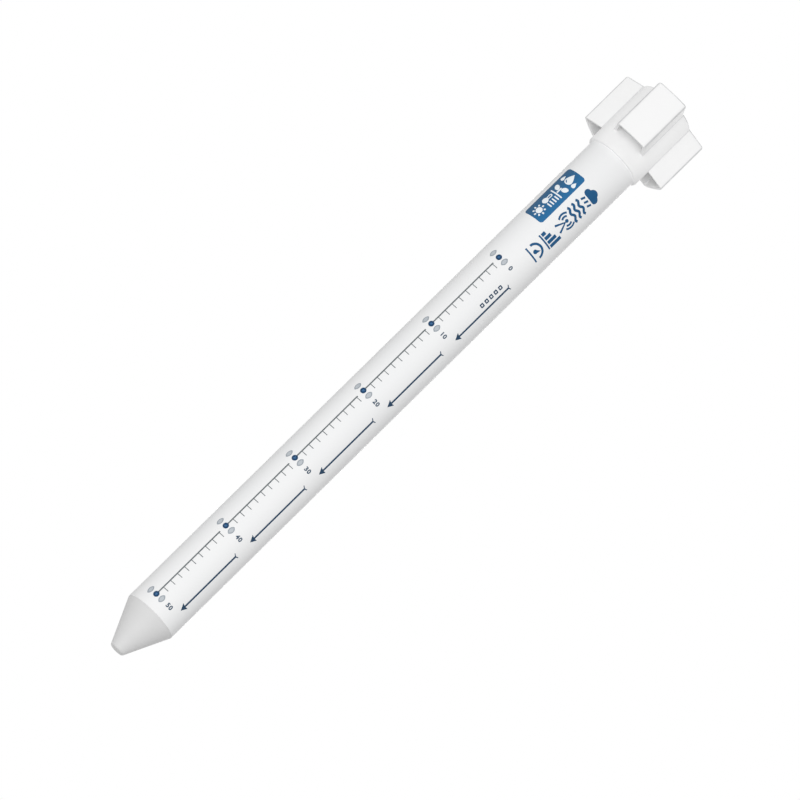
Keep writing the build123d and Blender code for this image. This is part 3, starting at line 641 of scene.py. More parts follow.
def ink(name, dark, light, span=None):
    """Screen-printing ink that drifts between two colours, or runs from one to the other over a span."""
    material, tree, shader, spot = blank_finish(name)
    dots = add(tree, "ShaderNodeTexNoise",
               {"Vector": spot, "Scale": 1 / SCREEN_MESH, "Detail": 2.0}).outputs[0]
    share = add(tree, "ShaderNodeTexNoise",
                {"Vector": spot, "Scale": 1 / INK_PATCH, "Detail": 1.0}).outputs[0]
    if span:
        across = add(tree, "ShaderNodeSeparateXYZ", {0: spot}).outputs["X"]
        share = add(tree, "ShaderNodeMapRange", {"Value": across, "From Min": span[0] * MM,
                                                 "From Max": span[1] * MM}).outputs[0]
    tint = add(tree, "ShaderNodeMix", {0: share, 6: linear(dark), 7: linear(light)}, data_type="RGBA")
    gloss = add(tree, "ShaderNodeMapRange", {"Value": dots, "To Min": 0.42, "To Max": 0.58})
    film = add(tree, "ShaderNodeBump", {"Height": dots, "Distance": INK_RELIEF, "Strength": 0.4})
    wire(tree, shader, {"Base Color": tint.outputs[2], "Roughness": gloss.outputs[0],
                        "Normal": film.outputs[0], "IOR": 1.48, "Specular IOR Level": INK_SHINE})
    return material


print("the screen's dots are", round(SCREEN_MESH / MM, 2), "mm apart")

# %% Inks
PANEL_SPAN = (-25, -6)
# The marks: a dark rim and a brighter core, which together look like one deep blue dot.
navy = ink("navy screen ink", "123c60", "18446a")
bright = ink("bright blue screen ink", "356595", "3d6d9d")
# The large signs, and the arrows, which are thin enough to look nearly black.
blue = ink("blue screen ink", "15507c", "1b5987")
slate = ink("slate screen ink", "1c3a55", "274762")
# The ruler is neutral, so that it stays behind the marks, and the numbers are darker to be readable.
grey = ink("grey screen ink", "666d70", "73797c")
iron = ink("iron grey screen ink", "3d5164", "4a5d70")
# The lenses beside the marks are faint: a pale rim round an even paler field.
pale = ink("pale grey screen ink", "9ba2aa", "a6adb4")
mist = ink("mist grey screen ink", "bac0c6", "c3c9ce")
# The panel's two blues run into each other, and its signs are a cool white that covers them.
panel_blue = ink("two-blue screen ink", "305b7e", "216a9e", PANEL_SPAN)
white = ink("white screen ink", "eff5f9", "f6fafc")
inks = (navy, bright, blue, slate, grey, iron, pale, mist, panel_blue, white)
print("inks:", [each.name for each in inks])

# %% [markdown]
# ## Cutting flat artwork
# Each printed mark starts flat, as closed outlines in millimetres: across is the way round the tube from
# its front line, and height is measured from the ground mark. A mesh could be built face by face, but a
# filled 2-D curve turns outlines into a thin film by itself, and an outline inside another becomes a
# hole. Before it can bend, the film needs edges across its width, so it is cut into narrow strips.


# %% Outlines of round and square marks
def arc(x, y, radius, start, end, points=12):
    """Points along an arc, by degrees from the right."""
    turns = [math.radians(start + (end - start) * count / (points - 1)) for count in range(points)]
    return [(x + radius * math.cos(turn), y + radius * math.sin(turn)) for turn in turns]


def circle(x, y, radius, points=28):
    """Outline of a disc."""
    return arc(x, y, radius, 0, 360 * (points - 1) / points, points)


def lens_shape(x, half_width, half_height, points=11):
    """Outline of an upright lens on the height of zero, with its points up and down."""
    radius = (half_width ** 2 + half_height ** 2) / (2 * half_width)
    bow = math.degrees(math.asin(half_height / radius))
    side = arc(half_width - radius, 0, radius, -bow, bow, points)
    return [(x + a, b) for a, b in side] + [(x - a, -b) for a, b in side[1:-1]]


def rectangle(left, low, right_side, high):
    """Outline of a box."""
    return [(left, low), (right_side, low), (right_side, high), (left, high)]


def rounded(left, low, right_side, high, radius, points=6):
    """Outline of a box with round corners."""
    corners = [(right_side - radius, high - radius), (left + radius, high - radius),
               (left + radius, low + radius), (right_side - radius, low + radius)]
    return [point for turn, (x, y) in enumerate(corners)
            for point in arc(x, y, radius, 90 * turn, 90 * turn + 90, points)]


print("a disc of 2 mm has", len(circle(0, 0, 1)), "points")

# %% Outlines of lines
# Half of a line's width is divided by this or more, so that a sharp corner doesn't stick out far.
CORNER_LIMIT = 0.5


def stroke(points, width):
    """Outline of a line of even width along the points."""
    line = [Vector(point) for point in points]
    sides = ([], [])
    for here, before, after in zip(line, line[:1] + line[:-1], line[1:] + line[-1:]):
        along = (after - here).normalized() + (here - before).normalized()
        across = Vector((-along.y, along.x)).normalized()
        run = (after - before).normalized()
        reach = width / 2 / max(CORNER_LIMIT, abs(across.dot(Vector((-run.y, run.x)))))
        sides[0].append(tuple(here + across * reach))
        sides[1].append(tuple(here - across * reach))
    return sides[0] + sides[1][::-1]


def moved(outlines, x, y):
    """Outlines shifted to their place."""
    return [[(px + x, py + y) for px, py in outline] for outline in outlines]


print("a straight line has", len(stroke([(0, 0), (1, 0)], 0.2)), "points")

# %% Film from outlines
INK_FILM = 0.12
STRIP = 1.5
WELD = 0.002 * MM


def flat(curve):
    """Plain mesh of a filled curve or of text."""
    holder = bpy.data.objects.new("flat_art", curve)
    bpy.context.collection.objects.link(holder)
    graph = bpy.context.evaluated_depsgraph_get()
    mesh = bpy.data.meshes.new_from_object(holder.evaluated_get(graph), depsgraph=graph)
    bpy.data.objects.remove(holder)
    return mesh


def strips(mesh):
    """Welds a film and cuts it into strips, so that it can bend."""
    film = bmesh.new()
    film.from_mesh(mesh)
    bmesh.ops.remove_doubles(film, verts=film.verts, dist=WELD)
    low = min(vert.co.x for vert in film.verts)
    width = max(vert.co.x for vert in film.verts) - low
    for cut in range(1, math.ceil(width / (STRIP * MM))):
        geometry = film.verts[:] + film.edges[:] + film.faces[:]
        here = (low + cut * STRIP * MM, 0, 0)
        bmesh.ops.bisect_plane(film, geom=geometry, dist=WELD, plane_co=here, plane_no=(1, 0, 0))
    film.to_mesh(mesh)
    film.free()
    return mesh


def plate(name, outlines, thick=INK_FILM):
    """Flat plate of closed outlines in mm, in the XY plane, half of its thickness to each side."""
    curve = bpy.data.curves.new(name, "CURVE")
    curve.dimensions = "2D"
    curve.fill_mode = "BOTH"
    curve.extrude = thick * MM / 2
    for outline in outlines:
        spline = curve.splines.new("POLY")
        spline.points.add(len(outline) - 1)
        for point, (x, y) in zip(spline.points, outline):
            point.co = (x * MM, y * MM, 0, 1)
        spline.use_cyclic_u = True
    return strips(flat(curve))


print("films are", INK_FILM, "mm thick and cut every", STRIP, "mm")

# %% [markdown]
# ## Print round the tube, step by step
# Print follows a surface and repeats, which is what Geometry Nodes are good at. One tree bends a flat
# film round the tube: the distance across becomes an angle, and the height stays. A second one repeats
# any shape in steps, and the whole row again in larger steps: nine ticks in each of five layers. A
# Simple Deform and two Array modifiers come close, but trees take their sizes by name. Both results are
# turned into plain meshes, so nothing depends on the trees afterwards.


# %% Helpers for geometry trees
def growth_tree(name, inputs):
    """New geometry tree with named inputs, and the sockets that bring them."""
    tree = bpy.data.node_groups.new(name, "GeometryNodeTree")
    for title, kind in {"Geometry": "Geometry", **inputs}.items():
        tree.interface.new_socket(title, in_out="INPUT", socket_type="NodeSocket" + kind)
    tree.interface.new_socket("Geometry", in_out="OUTPUT", socket_type="NodeSocketGeometry")
    return tree, add(tree, "NodeGroupInput").outputs


def end_tree(tree, shape, material):
    """Ends a tree: instances become real and get their finish."""
    real = add(tree, "GeometryNodeRealizeInstances", {0: shape})
    dressed = add(tree, "GeometryNodeSetMaterial", {"Geometry": real.outputs[0], "Material": material})
    add(tree, "NodeGroupOutput", {"Geometry": dressed.outputs[0]})
    print(tree.name, "has", len(tree.nodes), "nodes")


def grow(tree, mesh, values):
    """Runs a tree on a mesh and returns the result as a plain mesh."""
    seed = bpy.data.objects.new("seed", mesh)
    bpy.context.collection.objects.link(seed)
    growth = seed.modifiers.new("growth", "NODES")
    growth.node_group = tree
    for socket in tree.interface.items_tree:
        if socket.in_out == "INPUT" and socket.name in values:
            growth[socket.identifier] = values[socket.name]
    graph = bpy.context.evaluated_depsgraph_get()
    grown = bpy.data.meshes.new_from_object(seed.evaluated_get(graph), preserve_all_data_layers=True,
                                            depsgraph=graph)
    seed.modifiers.clear()
    bpy.data.objects.remove(seed)
    return grown


print("geometry trees so far:", len(bpy.data.node_groups))

# %% Tree that bends a film round the tube
bend, given = growth_tree("bend round the tube",
                          {"Radius": "Float", "Lift": "Float", "Finish": "Material"})
flat_spot = add(bend, "GeometryNodeInputPosition").outputs[0]
flat_part = add(bend, "ShaderNodeSeparateXYZ", {0: flat_spot}).outputs
angle = add(bend, "ShaderNodeMath", {0: flat_part["X"], 1: given["Radius"]},
            operation="DIVIDE").outputs[0]
skin = add(bend, "ShaderNodeMath", {0: given["Radius"], 1: given["Lift"]}, operation="ADD").outputs[0]
out = add(bend, "ShaderNodeMath", {0: skin, 1: flat_part["Z"]}, operation="ADD").outputs[0]
ahead = add(bend, "ShaderNodeMath", {0: out, 1: -1.0}, operation="MULTIPLY").outputs[0]
front_spot = add(bend, "ShaderNodeCombineXYZ", {"Y": ahead, "Z": flat_part["Y"]}).outputs[0]
bent_spot = add(bend, "ShaderNodeVectorRotate", {"Vector": front_spot, "Angle": angle},
                rotation_type="Z_AXIS").outputs[0]
bent = add(bend, "GeometryNodeSetPosition", {"Geometry": given["Geometry"], "Position": bent_spot})
end_tree(bend, bent.outputs[0], given["Finish"])

# %% Tree that repeats a shape
repeat, given = growth_tree("stepped copies", {"Copies": "Int", "Copy Step": "Vector", "Layers": "Int",
                                               "Layer Step": "Vector", "Finish": "Material"})
shape = given["Geometry"]
for count, step in (("Copies", "Copy Step"), ("Layers", "Layer Step")):
    line = add(repeat, "GeometryNodeMeshLine", {"Count": given[count], "Offset": given[step]}).outputs[0]
    shape = add(repeat, "GeometryNodeInstanceOnPoints", {"Points": line, "Instance": shape}).outputs[0]
end_tree(repeat, shape, given["Finish"])

# %% [markdown]
# ## Keeping a piece
# Cutting and bending leave double points and slivers, and some outlines run the wrong way round. Each
# finished mesh is therefore welded, cleared of slivers and turned outwards once, just before it becomes
# a piece. A piece then names the body that it moves with. All the print belongs to the probe.

# %% Clean, keep and print
TUBE_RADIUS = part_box("outer_tube")[1].x
SHARP_ANGLE = math.radians(30)
LAYER = 100.0
PRINT_LIFT = -0.03


def clean(mesh):
    """Closes seams, takes out slivers that cutting has left, and turns all faces outwards."""
    shape = bmesh.new()
    shape.from_mesh(mesh)
    bmesh.ops.remove_doubles(shape, verts=shape.verts, dist=WELD)
    bmesh.ops.dissolve_degenerate(shape, edges=shape.edges, dist=WELD)
    bmesh.ops.recalc_face_normals(shape, faces=shape.faces)
    shape.to_mesh(mesh)
    shape.free()


def keep(name, mesh, body):
    """Makes a finished mesh a piece that rides on a body."""
    clean(mesh)
    mesh.shade_smooth()
    mesh.set_sharp_from_angle(angle=SHARP_ANGLE)
    piece = bpy.data.objects.new(name, mesh)
    bpy.context.collection.objects.link(piece)
    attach(piece, body)
    print(name, len(mesh.polygons), "faces")
    return piece


def printed(name, film, colour, copies=1, step=0.0, layers=1, lift=PRINT_LIFT):
    """Prints a film on the tube: bent round it, then repeated downwards."""
    bent = grow(bend, film, {"Radius": TUBE_RADIUS, "Lift": lift * MM, "Finish": colour})
    values = {"Copies": copies, "Copy Step": (0, 0, -step * MM), "Layers": layers,
              "Layer Step": (0, 0, -LAYER * MM), "Finish": colour}
    keep(name, grow(repeat, bent, values), "probe")


print("the tube's radius is", round(TUBE_RADIUS / MM, 2), "mm")

# %% [markdown]
# ## The depth ruler
# A mark stands at the ground and at every 10 cm below it. Between two marks run a line with nine
# ticks and an arrow that spans the layer. A lens to each side of a mark shows where the sensor
# listens. Each is drawn once, for the top layer, and the trees do the rest. Their places are measured
# from the photograph against the tube's own width.

# %% Marks and lenses
LAYERS = 5
MARK_ACROSS = -9.0
MARK_RADIUS, MARK_HOLE = 3.3, 1.2
CORE_RADIUS = 1.15
mark = [circle(MARK_ACROSS, 0, MARK_RADIUS), circle(MARK_ACROSS, 0, MARK_HOLE)]
printed("print_marks", plate("marks", mark), navy, layers=LAYERS + 1)
core = [circle(MARK_ACROSS, 0, CORE_RADIUS)]
printed("print_mark_cores", plate("cores", core), bright, layers=LAYERS + 1)

# Each lens: half of its width and half of its height.
ZONES_ACROSS = (-17.3, -1.3)
ZONE_RIM, ZONE_HOLE, ZONE_FIELD = (2.9, 4.7), (1.9, 3.2), (1.87, 3.15)
rims = [lens_shape(x, *size) for x in ZONES_ACROSS for size in (ZONE_RIM, ZONE_HOLE)]
printed("print_zone_rims", plate("rims", rims), pale, layers=LAYERS + 1)
fields = [lens_shape(x, *ZONE_FIELD) for x in ZONES_ACROSS]
printed("print_zones", plate("zones", fields), mist, layers=LAYERS + 1)

# %% Lines and ticks
RULER_ACROSS = -8.9
LINE_WIDTH, LINE_TOP, LINE_FOOT = 1.5, -8.3, -96.7
line = [rectangle(RULER_ACROSS - LINE_WIDTH / 2, LINE_FOOT, RULER_ACROSS + LINE_WIDTH / 2, LINE_TOP)]
printed("print_lines", plate("lines", line), grey, layers=LAYERS)
DIVISION, TICKS = 10.0, 9
TICK_START, TICK_END, TICK_WIDTH = 0.8, 6.9, 0.8
tick = [rectangle(RULER_ACROSS + TICK_START, -DIVISION - TICK_WIDTH / 2,
                  RULER_ACROSS + TICK_END, -DIVISION + TICK_WIDTH / 2)]
printed("print_ticks", plate("ticks", tick), grey, copies=TICKS, step=DIVISION, layers=LAYERS)

# %% Arrows and squares
ARROW_ACROSS, ARROW_TIP = 21.8, -93.7
# The right half of an arrow, from the notch of its tail down to the barb above its tip.
arrow_half = [(0, -14.2), (3.2, -12.8), (3.4, -13.7), (1.0, -15.0), (1.0, -87.5), (4.3, -86.8)]
arrow = arrow_half + [(0, ARROW_TIP)] + [(-x, y) for x, y in arrow_half[:0:-1]]
printed("print_arrows", plate("arrows", moved([arrow], ARROW_ACROSS, 0)), slate, layers=LAYERS)
# A row of empty squares stands beside the first arrow.
SQUARES, SQUARE_STEP = 5, 6.7
SQUARE_ACROSS, SQUARE_TOP = 14.9, -21.7
SQUARE_HALF, SQUARE_HOLE, SQUARE_CORNER = 2.2, 0.9, 0.6
square = [rounded(-SQUARE_HALF, -SQUARE_HALF, SQUARE_HALF, SQUARE_HALF, SQUARE_CORNER),
          rectangle(-SQUARE_HOLE, -SQUARE_HOLE, SQUARE_HOLE, SQUARE_HOLE)]
square = moved(square, SQUARE_ACROSS, SQUARE_TOP)
printed("print_squares", plate("squares", square), slate, copies=SQUARES, step=SQUARE_STEP)

# %% [markdown]
# ## Numbers
# The marks are numbered in centimetres. A text object holds real letter shapes, so nothing has to be
# drawn. Its own size is that of the font's body, which differs from font to font, so each number is
# scaled by its measured height instead.

# %% Numbers
NUMBER_ACROSS = 6.1
NUMBER_HEIGHT = 5.3
NUMBER_BOLD = 0.04
NUMBER_SPACING = 1.15
NUMBER_CURVE_STEPS = 6
CENTIMETRES_PER_LAYER = 10


def number(text, across, height):
    """Flat film of a number, its left edge and its middle at a place in mm."""
    curve = bpy.data.curves.new("number", "FONT")
    curve.body = text
    curve.extrude = INK_FILM * MM / 2
    curve.resolution_u = NUMBER_CURVE_STEPS
    curve.size = MM
    curve.offset = NUMBER_BOLD * MM
    curve.space_character = NUMBER_SPACING
    mesh = flat(curve)
    xs, ys = zip(*[vert.co.xy for vert in mesh.vertices])
    size = NUMBER_HEIGHT * MM / (max(ys) - min(ys))
    for vert in mesh.vertices:
        vert.co.x = across * MM + (vert.co.x - min(xs)) * size
        vert.co.y = height * MM + (vert.co.y - (min(ys) + max(ys)) / 2) * size
    return mesh


numbers = bmesh.new()
for layer in range(LAYERS + 1):
    numbers.from_mesh(number(str(CENTIMETRES_PER_LAYER * layer), NUMBER_ACROSS, -LAYER * layer))
film = bpy.data.meshes.new("numbers")
numbers.to_mesh(film)
numbers.free()
printed("print_numbers", strips(film), iron)

# %% [markdown]
# ## Signs above the ground mark
# The upper part of the tube carries a blue panel and a column of large blue signs. They are drawn as
# plain pictures of what the probe measures: water, plants, warmth and sun on the panel, and rain, soil
# layers, radio, readings and a gauge beside it. Each is drawn about its own middle, in millimetres. The
# outlines of a sign never cross, because a filled curve would leave a hole where they overlap.


# %% Drop and leaf
def drop(x, y, size, points=28):
    """Outline of a drop with its tip up."""
    turns = [2 * math.pi * count / points for count in range(points)]
    return [(x + size * math.sin(t) * math.sin(t / 2) ** 1.5, y + size * math.cos(t)) for t in turns]


def leaf(x, y, length, width, tilt, points=10):
    """Outline of a leaf that grows from a point, tilted by degrees from the right."""
    turn = math.radians(tilt)
    rim = [(length * (1 - math.cos(t)) / 2, width / 2 * math.sin(t) ** 1.2)
           for t in [math.pi * count / points for count in range(1, points)]]
    ring = [(0, 0)] + rim + [(length, 0)] + [(a, -b) for a, b in reversed(rim)]
    return [(x + a * math.cos(turn) - b * math.sin(turn), y + a * math.sin(turn) + b * math.cos(turn))
            for a, b in ring]


print("a drop has", len(drop(0, 0, 1)), "points, a leaf", len(leaf(0, 0, 1, 1, 0)))

# %% Signs on the panel
water = [drop(0, 0, 6.8), stroke(arc(0, -2.0, 3.0, 190, 262, 8), 1.2)]
water += [drop(side * 8.0, -2.8, 3.4) for side in (-1, 1)]
plant = [rectangle(-0.9, -4.6, 0.9, 2.4), rectangle(-8.2, -6.8, 8.2, -5.2)]
plant += [leaf(1.3, 0.4, 8.0, 5.6, 32), leaf(-1.3, -1.6, 8.0, 5.6, 148)]
bulb = arc(-3.2, -3.2, 3.6, -240, 60, 20) + arc(-3.2, 4.7, 2.1, 0, 180, 9)
warmth = [bulb, rounded(-4.0, 0.6, -2.4, 5.4, 0.7)]
warmth += [rectangle(1.2, height, 7.4, height + 1.6) for height in (-5.4, -1.8, 1.8, 5.4)]
rays = [[arc(0, 0, far, turn, turn, 2)[0] for far in (4.8, 7.0)] for turn in range(0, 360, 45)]
sun = [circle(0, 0, 3.8)] + [stroke(ends, 1.8) for ends in rays]
print("outlines of the panel's signs:", [len(sign) for sign in (water, plant, warmth, sun)])

# %% Large signs
SOIL_WAVE, SOIL_SWING, SOIL_POINTS = 9.3, 1.2, 31
cloud = arc(-5.6, 1.6, 3.9, 270, 110, 10) + arc(0, 4.0, 5.4, 165, 25, 12)
cloud += arc(5.6, 1.6, 3.9, 70, -90, 10)
rain = [cloud] + [stroke([(x + 1.0, -4.0), (x - 0.8, -8.8)], 2.3) for x in (-5.2, 0, 5.2)]
waves = [SOIL_WAVE * (2 * count / (SOIL_POINTS - 1) - 1) for count in range(SOIL_POINTS)]
soil = [stroke([(x, y + SOIL_SWING * math.sin(2 * math.pi * x / SOIL_WAVE)) for x in waves], 2.8)
        for y in (6.2, 0, -6.2)]
mast = [stroke([(-4.8, -9.0), (0, 1.6), (4.8, -9.0)], 2.4), circle(0, 4.6, 2.0)]
mast += [stroke(arc(0, 4.6, radius, side - 42, side + 42, 9), 2.1)
         for radius in (5.0, 8.6) for side in (0, 180)]
ground = rectangle(-9.6, -9.0, 9.6, -7.2)
bars = [rectangle(-9.2 + 5.1 * count, -6.0, -5.4 + 5.1 * count, -1.0 + 3.3 * count)
        for count in range(4)]
bars += [ground]
pointer = arc(0, -2.6, 2.4, 100, 380, 18) + [(3.2, 2.9)]
gauge = [stroke(arc(0, -2.6, 8.3, 0, 180, 20), 2.6), pointer, ground]
print("outlines of the large signs:", [len(sign) for sign in (rain, soil, mast, bars, gauge)])

# %% Panel and signs
PANEL_LOW, PANEL_HIGH = 56.4, 123.2
PANEL_LEFT, PANEL_RIGHT = -29.2, -2.6
PANEL_CORNER = 3.6
WHITE_LIFT = 0.0
SMALL_ACROSS, SMALL_HEIGHTS = -15.4, (113.2, 97.6, 82.0, 66.4)
LARGE_ACROSS, LARGE_HEIGHTS = 13.8, (113.5, 93.6, 73.7, 53.8, 33.9)
panel = [rounded(PANEL_LEFT, PANEL_LOW, PANEL_RIGHT, PANEL_HIGH, PANEL_CORNER)]
printed("print_panel", plate("panel", panel), panel_blue)
small = [outline for sign, height in zip((water, plant, warmth, sun), SMALL_HEIGHTS)
         for outline in moved(sign, SMALL_ACROSS, height)]
printed("print_panel_signs", plate("panel_signs", small), white, lift=WHITE_LIFT)
large = [outline for sign, height in zip((rain, soil, mast, bars, gauge), LARGE_HEIGHTS)
         for outline in moved(sign, LARGE_ACROSS, height)]
printed("print_signs", plate("signs", large), blue)

# %% [markdown]
# ## Screws
# With the cap off, six cross-head screws can be seen. A pan head is where a cylinder and a flat dome
# overlap, less a cross. Booleans in a tree say exactly that, and the tree puts one screw on each point it
# is given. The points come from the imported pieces: the box of each loose solid gives the middle of a head.


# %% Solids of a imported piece
def solids(name):
    """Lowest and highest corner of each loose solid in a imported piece."""
    copy = bmesh.new()
    copy.from_mesh(nodes[name].data)
    bmesh.ops.remove_doubles(copy, verts=copy.verts, dist=WELD)
    left, boxes = set(copy.verts), []
    while left:
        group = [left.pop()]
        for vert in group:
            joined = {edge.other_vert(vert) for edge in vert.link_edges} & left
            left -= joined
            group.extend(joined)
        spans = [(min(axis), max(axis)) for axis in zip(*(vert.co for vert in group))]
        boxes.append(tuple(Vector(corner) for corner in zip(*spans)))
    copy.free()
    return boxes


print("board_screws holds", len(solids("board_screws")), "solids")

# %% Screw tree
HEAD_SIDES = 40
DOME_RINGS = 48
SHANK_SIDES = 24
screw, given = growth_tree("cross-head screw", {"Head Radius": "Float", "Head Height": "Float",
                                                "Dome Radius": "Float", "Dome Centre": "Vector",
                                                "Head Centre": "Vector", "Shank Radius": "Float",
                                                "Shank Length": "Float", "Shank Centre": "Vector",
                                                "Slot Long": "Vector", "Slot Cross": "Vector",
                                                "Slot Centre": "Vector", "Turn": "Vector",
                                                "Finish": "Material"})
drum = add(screw, "GeometryNodeMeshCylinder", {"Vertices": HEAD_SIDES, "Radius": given["Head Radius"],
                                               "Depth": given["Head Height"]})
drum = add(screw, "GeometryNodeTransform", {0: drum.outputs[0], "Translation": given["Head Centre"]})
dome = add(screw, "GeometryNodeMeshUVSphere", {"Segments": HEAD_SIDES, "Rings": DOME_RINGS,
                                               "Radius": given["Dome Radius"]})
dome = add(screw, "GeometryNodeTransform", {0: dome.outputs[0], "Translation": given["Dome Centre"]})
head = add(screw, "GeometryNodeMeshBoolean", operation="INTERSECT", solver="MANIFOLD")
screw.links.new(drum.outputs[0], head.inputs["Mesh 2"])
screw.links.new(dome.outputs[0], head.inputs["Mesh 2"])
for way in ("Slot Long", "Slot Cross"):
    slot = add(screw, "GeometryNodeMeshCube", {"Size": given[way]})
    slot = add(screw, "GeometryNodeTransform", {0: slot.outputs[0], "Translation": given["Slot Centre"]})
    head = add(screw, "GeometryNodeMeshBoolean", {"Mesh 1": head.outputs[0], "Mesh 2": slot.outputs[0]},
               operation="DIFFERENCE", solver="MANIFOLD")
shank = add(screw, "GeometryNodeMeshCylinder", {"Vertices": SHANK_SIDES, "Radius": given["Shank Radius"],
                                                "Depth": given["Shank Length"]})
shank = add(screw, "GeometryNodeTransform", {0: shank.outputs[0], "Translation": given["Shank Centre"]})
whole = add(screw, "GeometryNodeJoinGeometry", {0: head.outputs[0]})
screw.links.new(shank.outputs[0], whole.inputs[0])
whole = add(screw, "GeometryNodeTransform", {0: whole.outputs[0], "Rotation": given["Turn"]})
seated = add(screw, "GeometryNodeInstanceOnPoints",
             {"Points": given["Geometry"], "Instance": whole.outputs[0]})
end_tree(screw, seated.outputs[0], given["Finish"])

# %% Screws of any size
# Shares of a head: the dome's rise of its height, the slot's length and width of its width, and the
# height of the slot's middle.
DOME_RISE = 0.45
SLOT_LENGTH, SLOT_WIDTH = 0.62, 0.16
SLOT_MIDDLE = 0.95


def screws(name, seats, head, shank, turn):
    """Screws with their heads on the seats; the turn brings their heads from up to their own way."""
    head_width, head_height = head
    shank_width, shank_length = shank
    radius, rise = head_width / 2, DOME_RISE * head_height
    dome_radius = (radius ** 2 + rise ** 2) / (2 * rise)
    slot = (SLOT_LENGTH * head_width, SLOT_WIDTH * head_width, head_height)
    values = {"Head Radius": radius, "Head Height": head_height, "Head Centre": (0, 0, head_height / 2),
              "Dome Radius": dome_radius, "Dome Centre": (0, 0, head_height - dome_radius),
              "Shank Radius": shank_width / 2, "Shank Length": shank_length,
              "Shank Centre": (0, 0, -shank_length / 2), "Slot Long": slot,
              "Slot Cross": (slot[1], slot[0], slot[2]), "Slot Centre": (0, 0, SLOT_MIDDLE * head_height),
              "Turn": turn, "Finish": finishes["screw_steel"]}
    points = bpy.data.meshes.new("seats")
    points.from_pydata(seats, [], [])
    piece = keep(name, grow(screw, points, values), "probe")
    return piece


print(screw.name, "has", len(given) - 2, "inputs")

# %% Screws in their seats
# Each head: its width and its height.
PLATE_HEAD = (5.5 * MM, 2.2 * MM)
BOARD_HEAD = (4.5 * MM, 1.6 * MM)
CLAMP_HEAD = (3.0 * MM, 0.7 * MM)
PLATE_SHANK, BOARD_SHANK = 3.0 * MM, 2.5 * MM
CLAMP_SHANK = (1.6 * MM, 1.0 * MM)
CLAMP_BELOW_TOP = 2.6 * MM
TO_FRONT = (math.pi / 2, 0, 0)
TO_BACK = (-math.pi / 2, 0, 0)

boxes = solids("plate_screws")
seats = [((low.x + high.x) / 2, (low.y + high.y) / 2, high.z - PLATE_HEAD[1]) for low, high in boxes]
shank = (PLATE_SHANK, boxes[0][1].z - boxes[0][0].z - PLATE_HEAD[1])
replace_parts(screws("steel_plate_screws", seats, PLATE_HEAD, shank, (0, 0, 0)), "plate_screws")

boxes = solids("board_screws")
seats = [((low.x + high.x) / 2, low.y + BOARD_HEAD[1], (low.z + high.z) / 2) for low, high in boxes]
shank = (BOARD_SHANK, boxes[0][1].y - boxes[0][0].y - BOARD_HEAD[1])
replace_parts(screws("steel_board_screws", seats, BOARD_HEAD, shank, TO_FRONT), "board_screws")

boxes = solids("wire_terminals")
seats = [((low.x + high.x) / 2, high.y, high.z - CLAMP_BELOW_TOP) for low, high in boxes]
screws("terminal_clamp_screws", seats, CLAMP_HEAD, CLAMP_SHANK, TO_BACK)

# %% [markdown]
# ## Parts on the main board
# The board under the cap carries the usual small parts: a controller with leads on four sides, smaller
# chips, a coil, capacitors, rows of tiny resistors, and the solder joints of the header behind it. A
# texture could hint at them, but with the cap off they stand out from the board and throw shadows.
# Bodies are boxes with rounded edges. Leads and rows repeat, so trees place them.


# %% Boxes and turned shapes
def brick(low, high, round_edge):
    """Box between two corners in mm, with rounded edges."""
    shape = bmesh.new()
    bmesh.ops.create_cube(shape, size=1.0)
    middle, size = (Vector(low) + Vector(high)) / 2, Vector(high) - Vector(low)
    for vert in shape.verts:
        vert.co = (middle + vert.co * size) * MM
    bmesh.ops.bevel(shape, geom=shape.edges[:], offset=round_edge * MM, segments=2, affect="EDGES",
                    profile=0.5)
    mesh = bpy.data.meshes.new("brick")
    shape.to_mesh(mesh)
    shape.free()
    return mesh


def turned(profile, sides=20):
    """Shape turned round Z from (radius, height) points in mm, closed at both ends on the axis."""
    shape = bmesh.new()
    line = [shape.verts.new((radius * MM, 0, height * MM)) for radius, height in profile]
    edges = [shape.edges.new(pair) for pair in zip(line, line[1:])]
    bmesh.ops.spin(shape, geom=line + edges, axis=(0, 0, 1), angle=2 * math.pi, steps=sides)
    mesh = bpy.data.meshes.new("turned")
    shape.to_mesh(mesh)
    shape.free()
    return mesh


print("a rounded box has", len(brick((0, 0, 0), (1, 1, 1), 0.1).polygons), "faces")

# %% Places on the board
FRONT, BACK = -1, 1
FACE = {FRONT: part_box("main_board")[0].y / MM, BACK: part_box("main_board")[1].y / MM}
TURN = {FRONT: TO_FRONT, BACK: TO_BACK}


def set_down(mesh, x, y, z, turn=(0, 0, 0)):
    """Turns a mesh and moves it to its place in mm."""
    turning = Euler(turn).to_matrix().to_4x4()
    mesh.transform(Matrix.Translation(Vector((x, y, z)) * MM) @ turning)
    return mesh


def standing(side, place, size, round_edge):
    """Rounded box of width, rise and length on a side of the board; place is across and up, in mm."""
    x, z = place
    width, rise, length = size
    near, far = sorted((FACE[side], FACE[side] + side * rise))
    return brick((x - width / 2, near, z - length / 2), (x + width / 2, far, z + length / 2), round_edge)


def rows(name, mesh, made_of, copies=1, step=(0, 0, 0), layers=1, layer_step=(0, 0, 0)):
    """Repeats a mesh in steps in mm, and the row again in larger steps."""
    values = {"Copies": copies, "Copy Step": tuple(Vector(step) * MM), "Layers": layers,
              "Layer Step": tuple(Vector(layer_step) * MM), "Finish": made_of}
    keep(name, grow(repeat, mesh, values), "probe")


print("the board lies from", round(FACE[FRONT], 2), "to", round(FACE[BACK], 2), "mm")

# %% [markdown]
# ## Chips
# A chip is a block of black epoxy with a row of bent metal leads along two or four sides. The lead is a
# bent strip, cut as a flat outline and stood on its edge. One tree makes a row of it along one side, and
# turns that row round the chip, so the same tree serves chips of either kind.

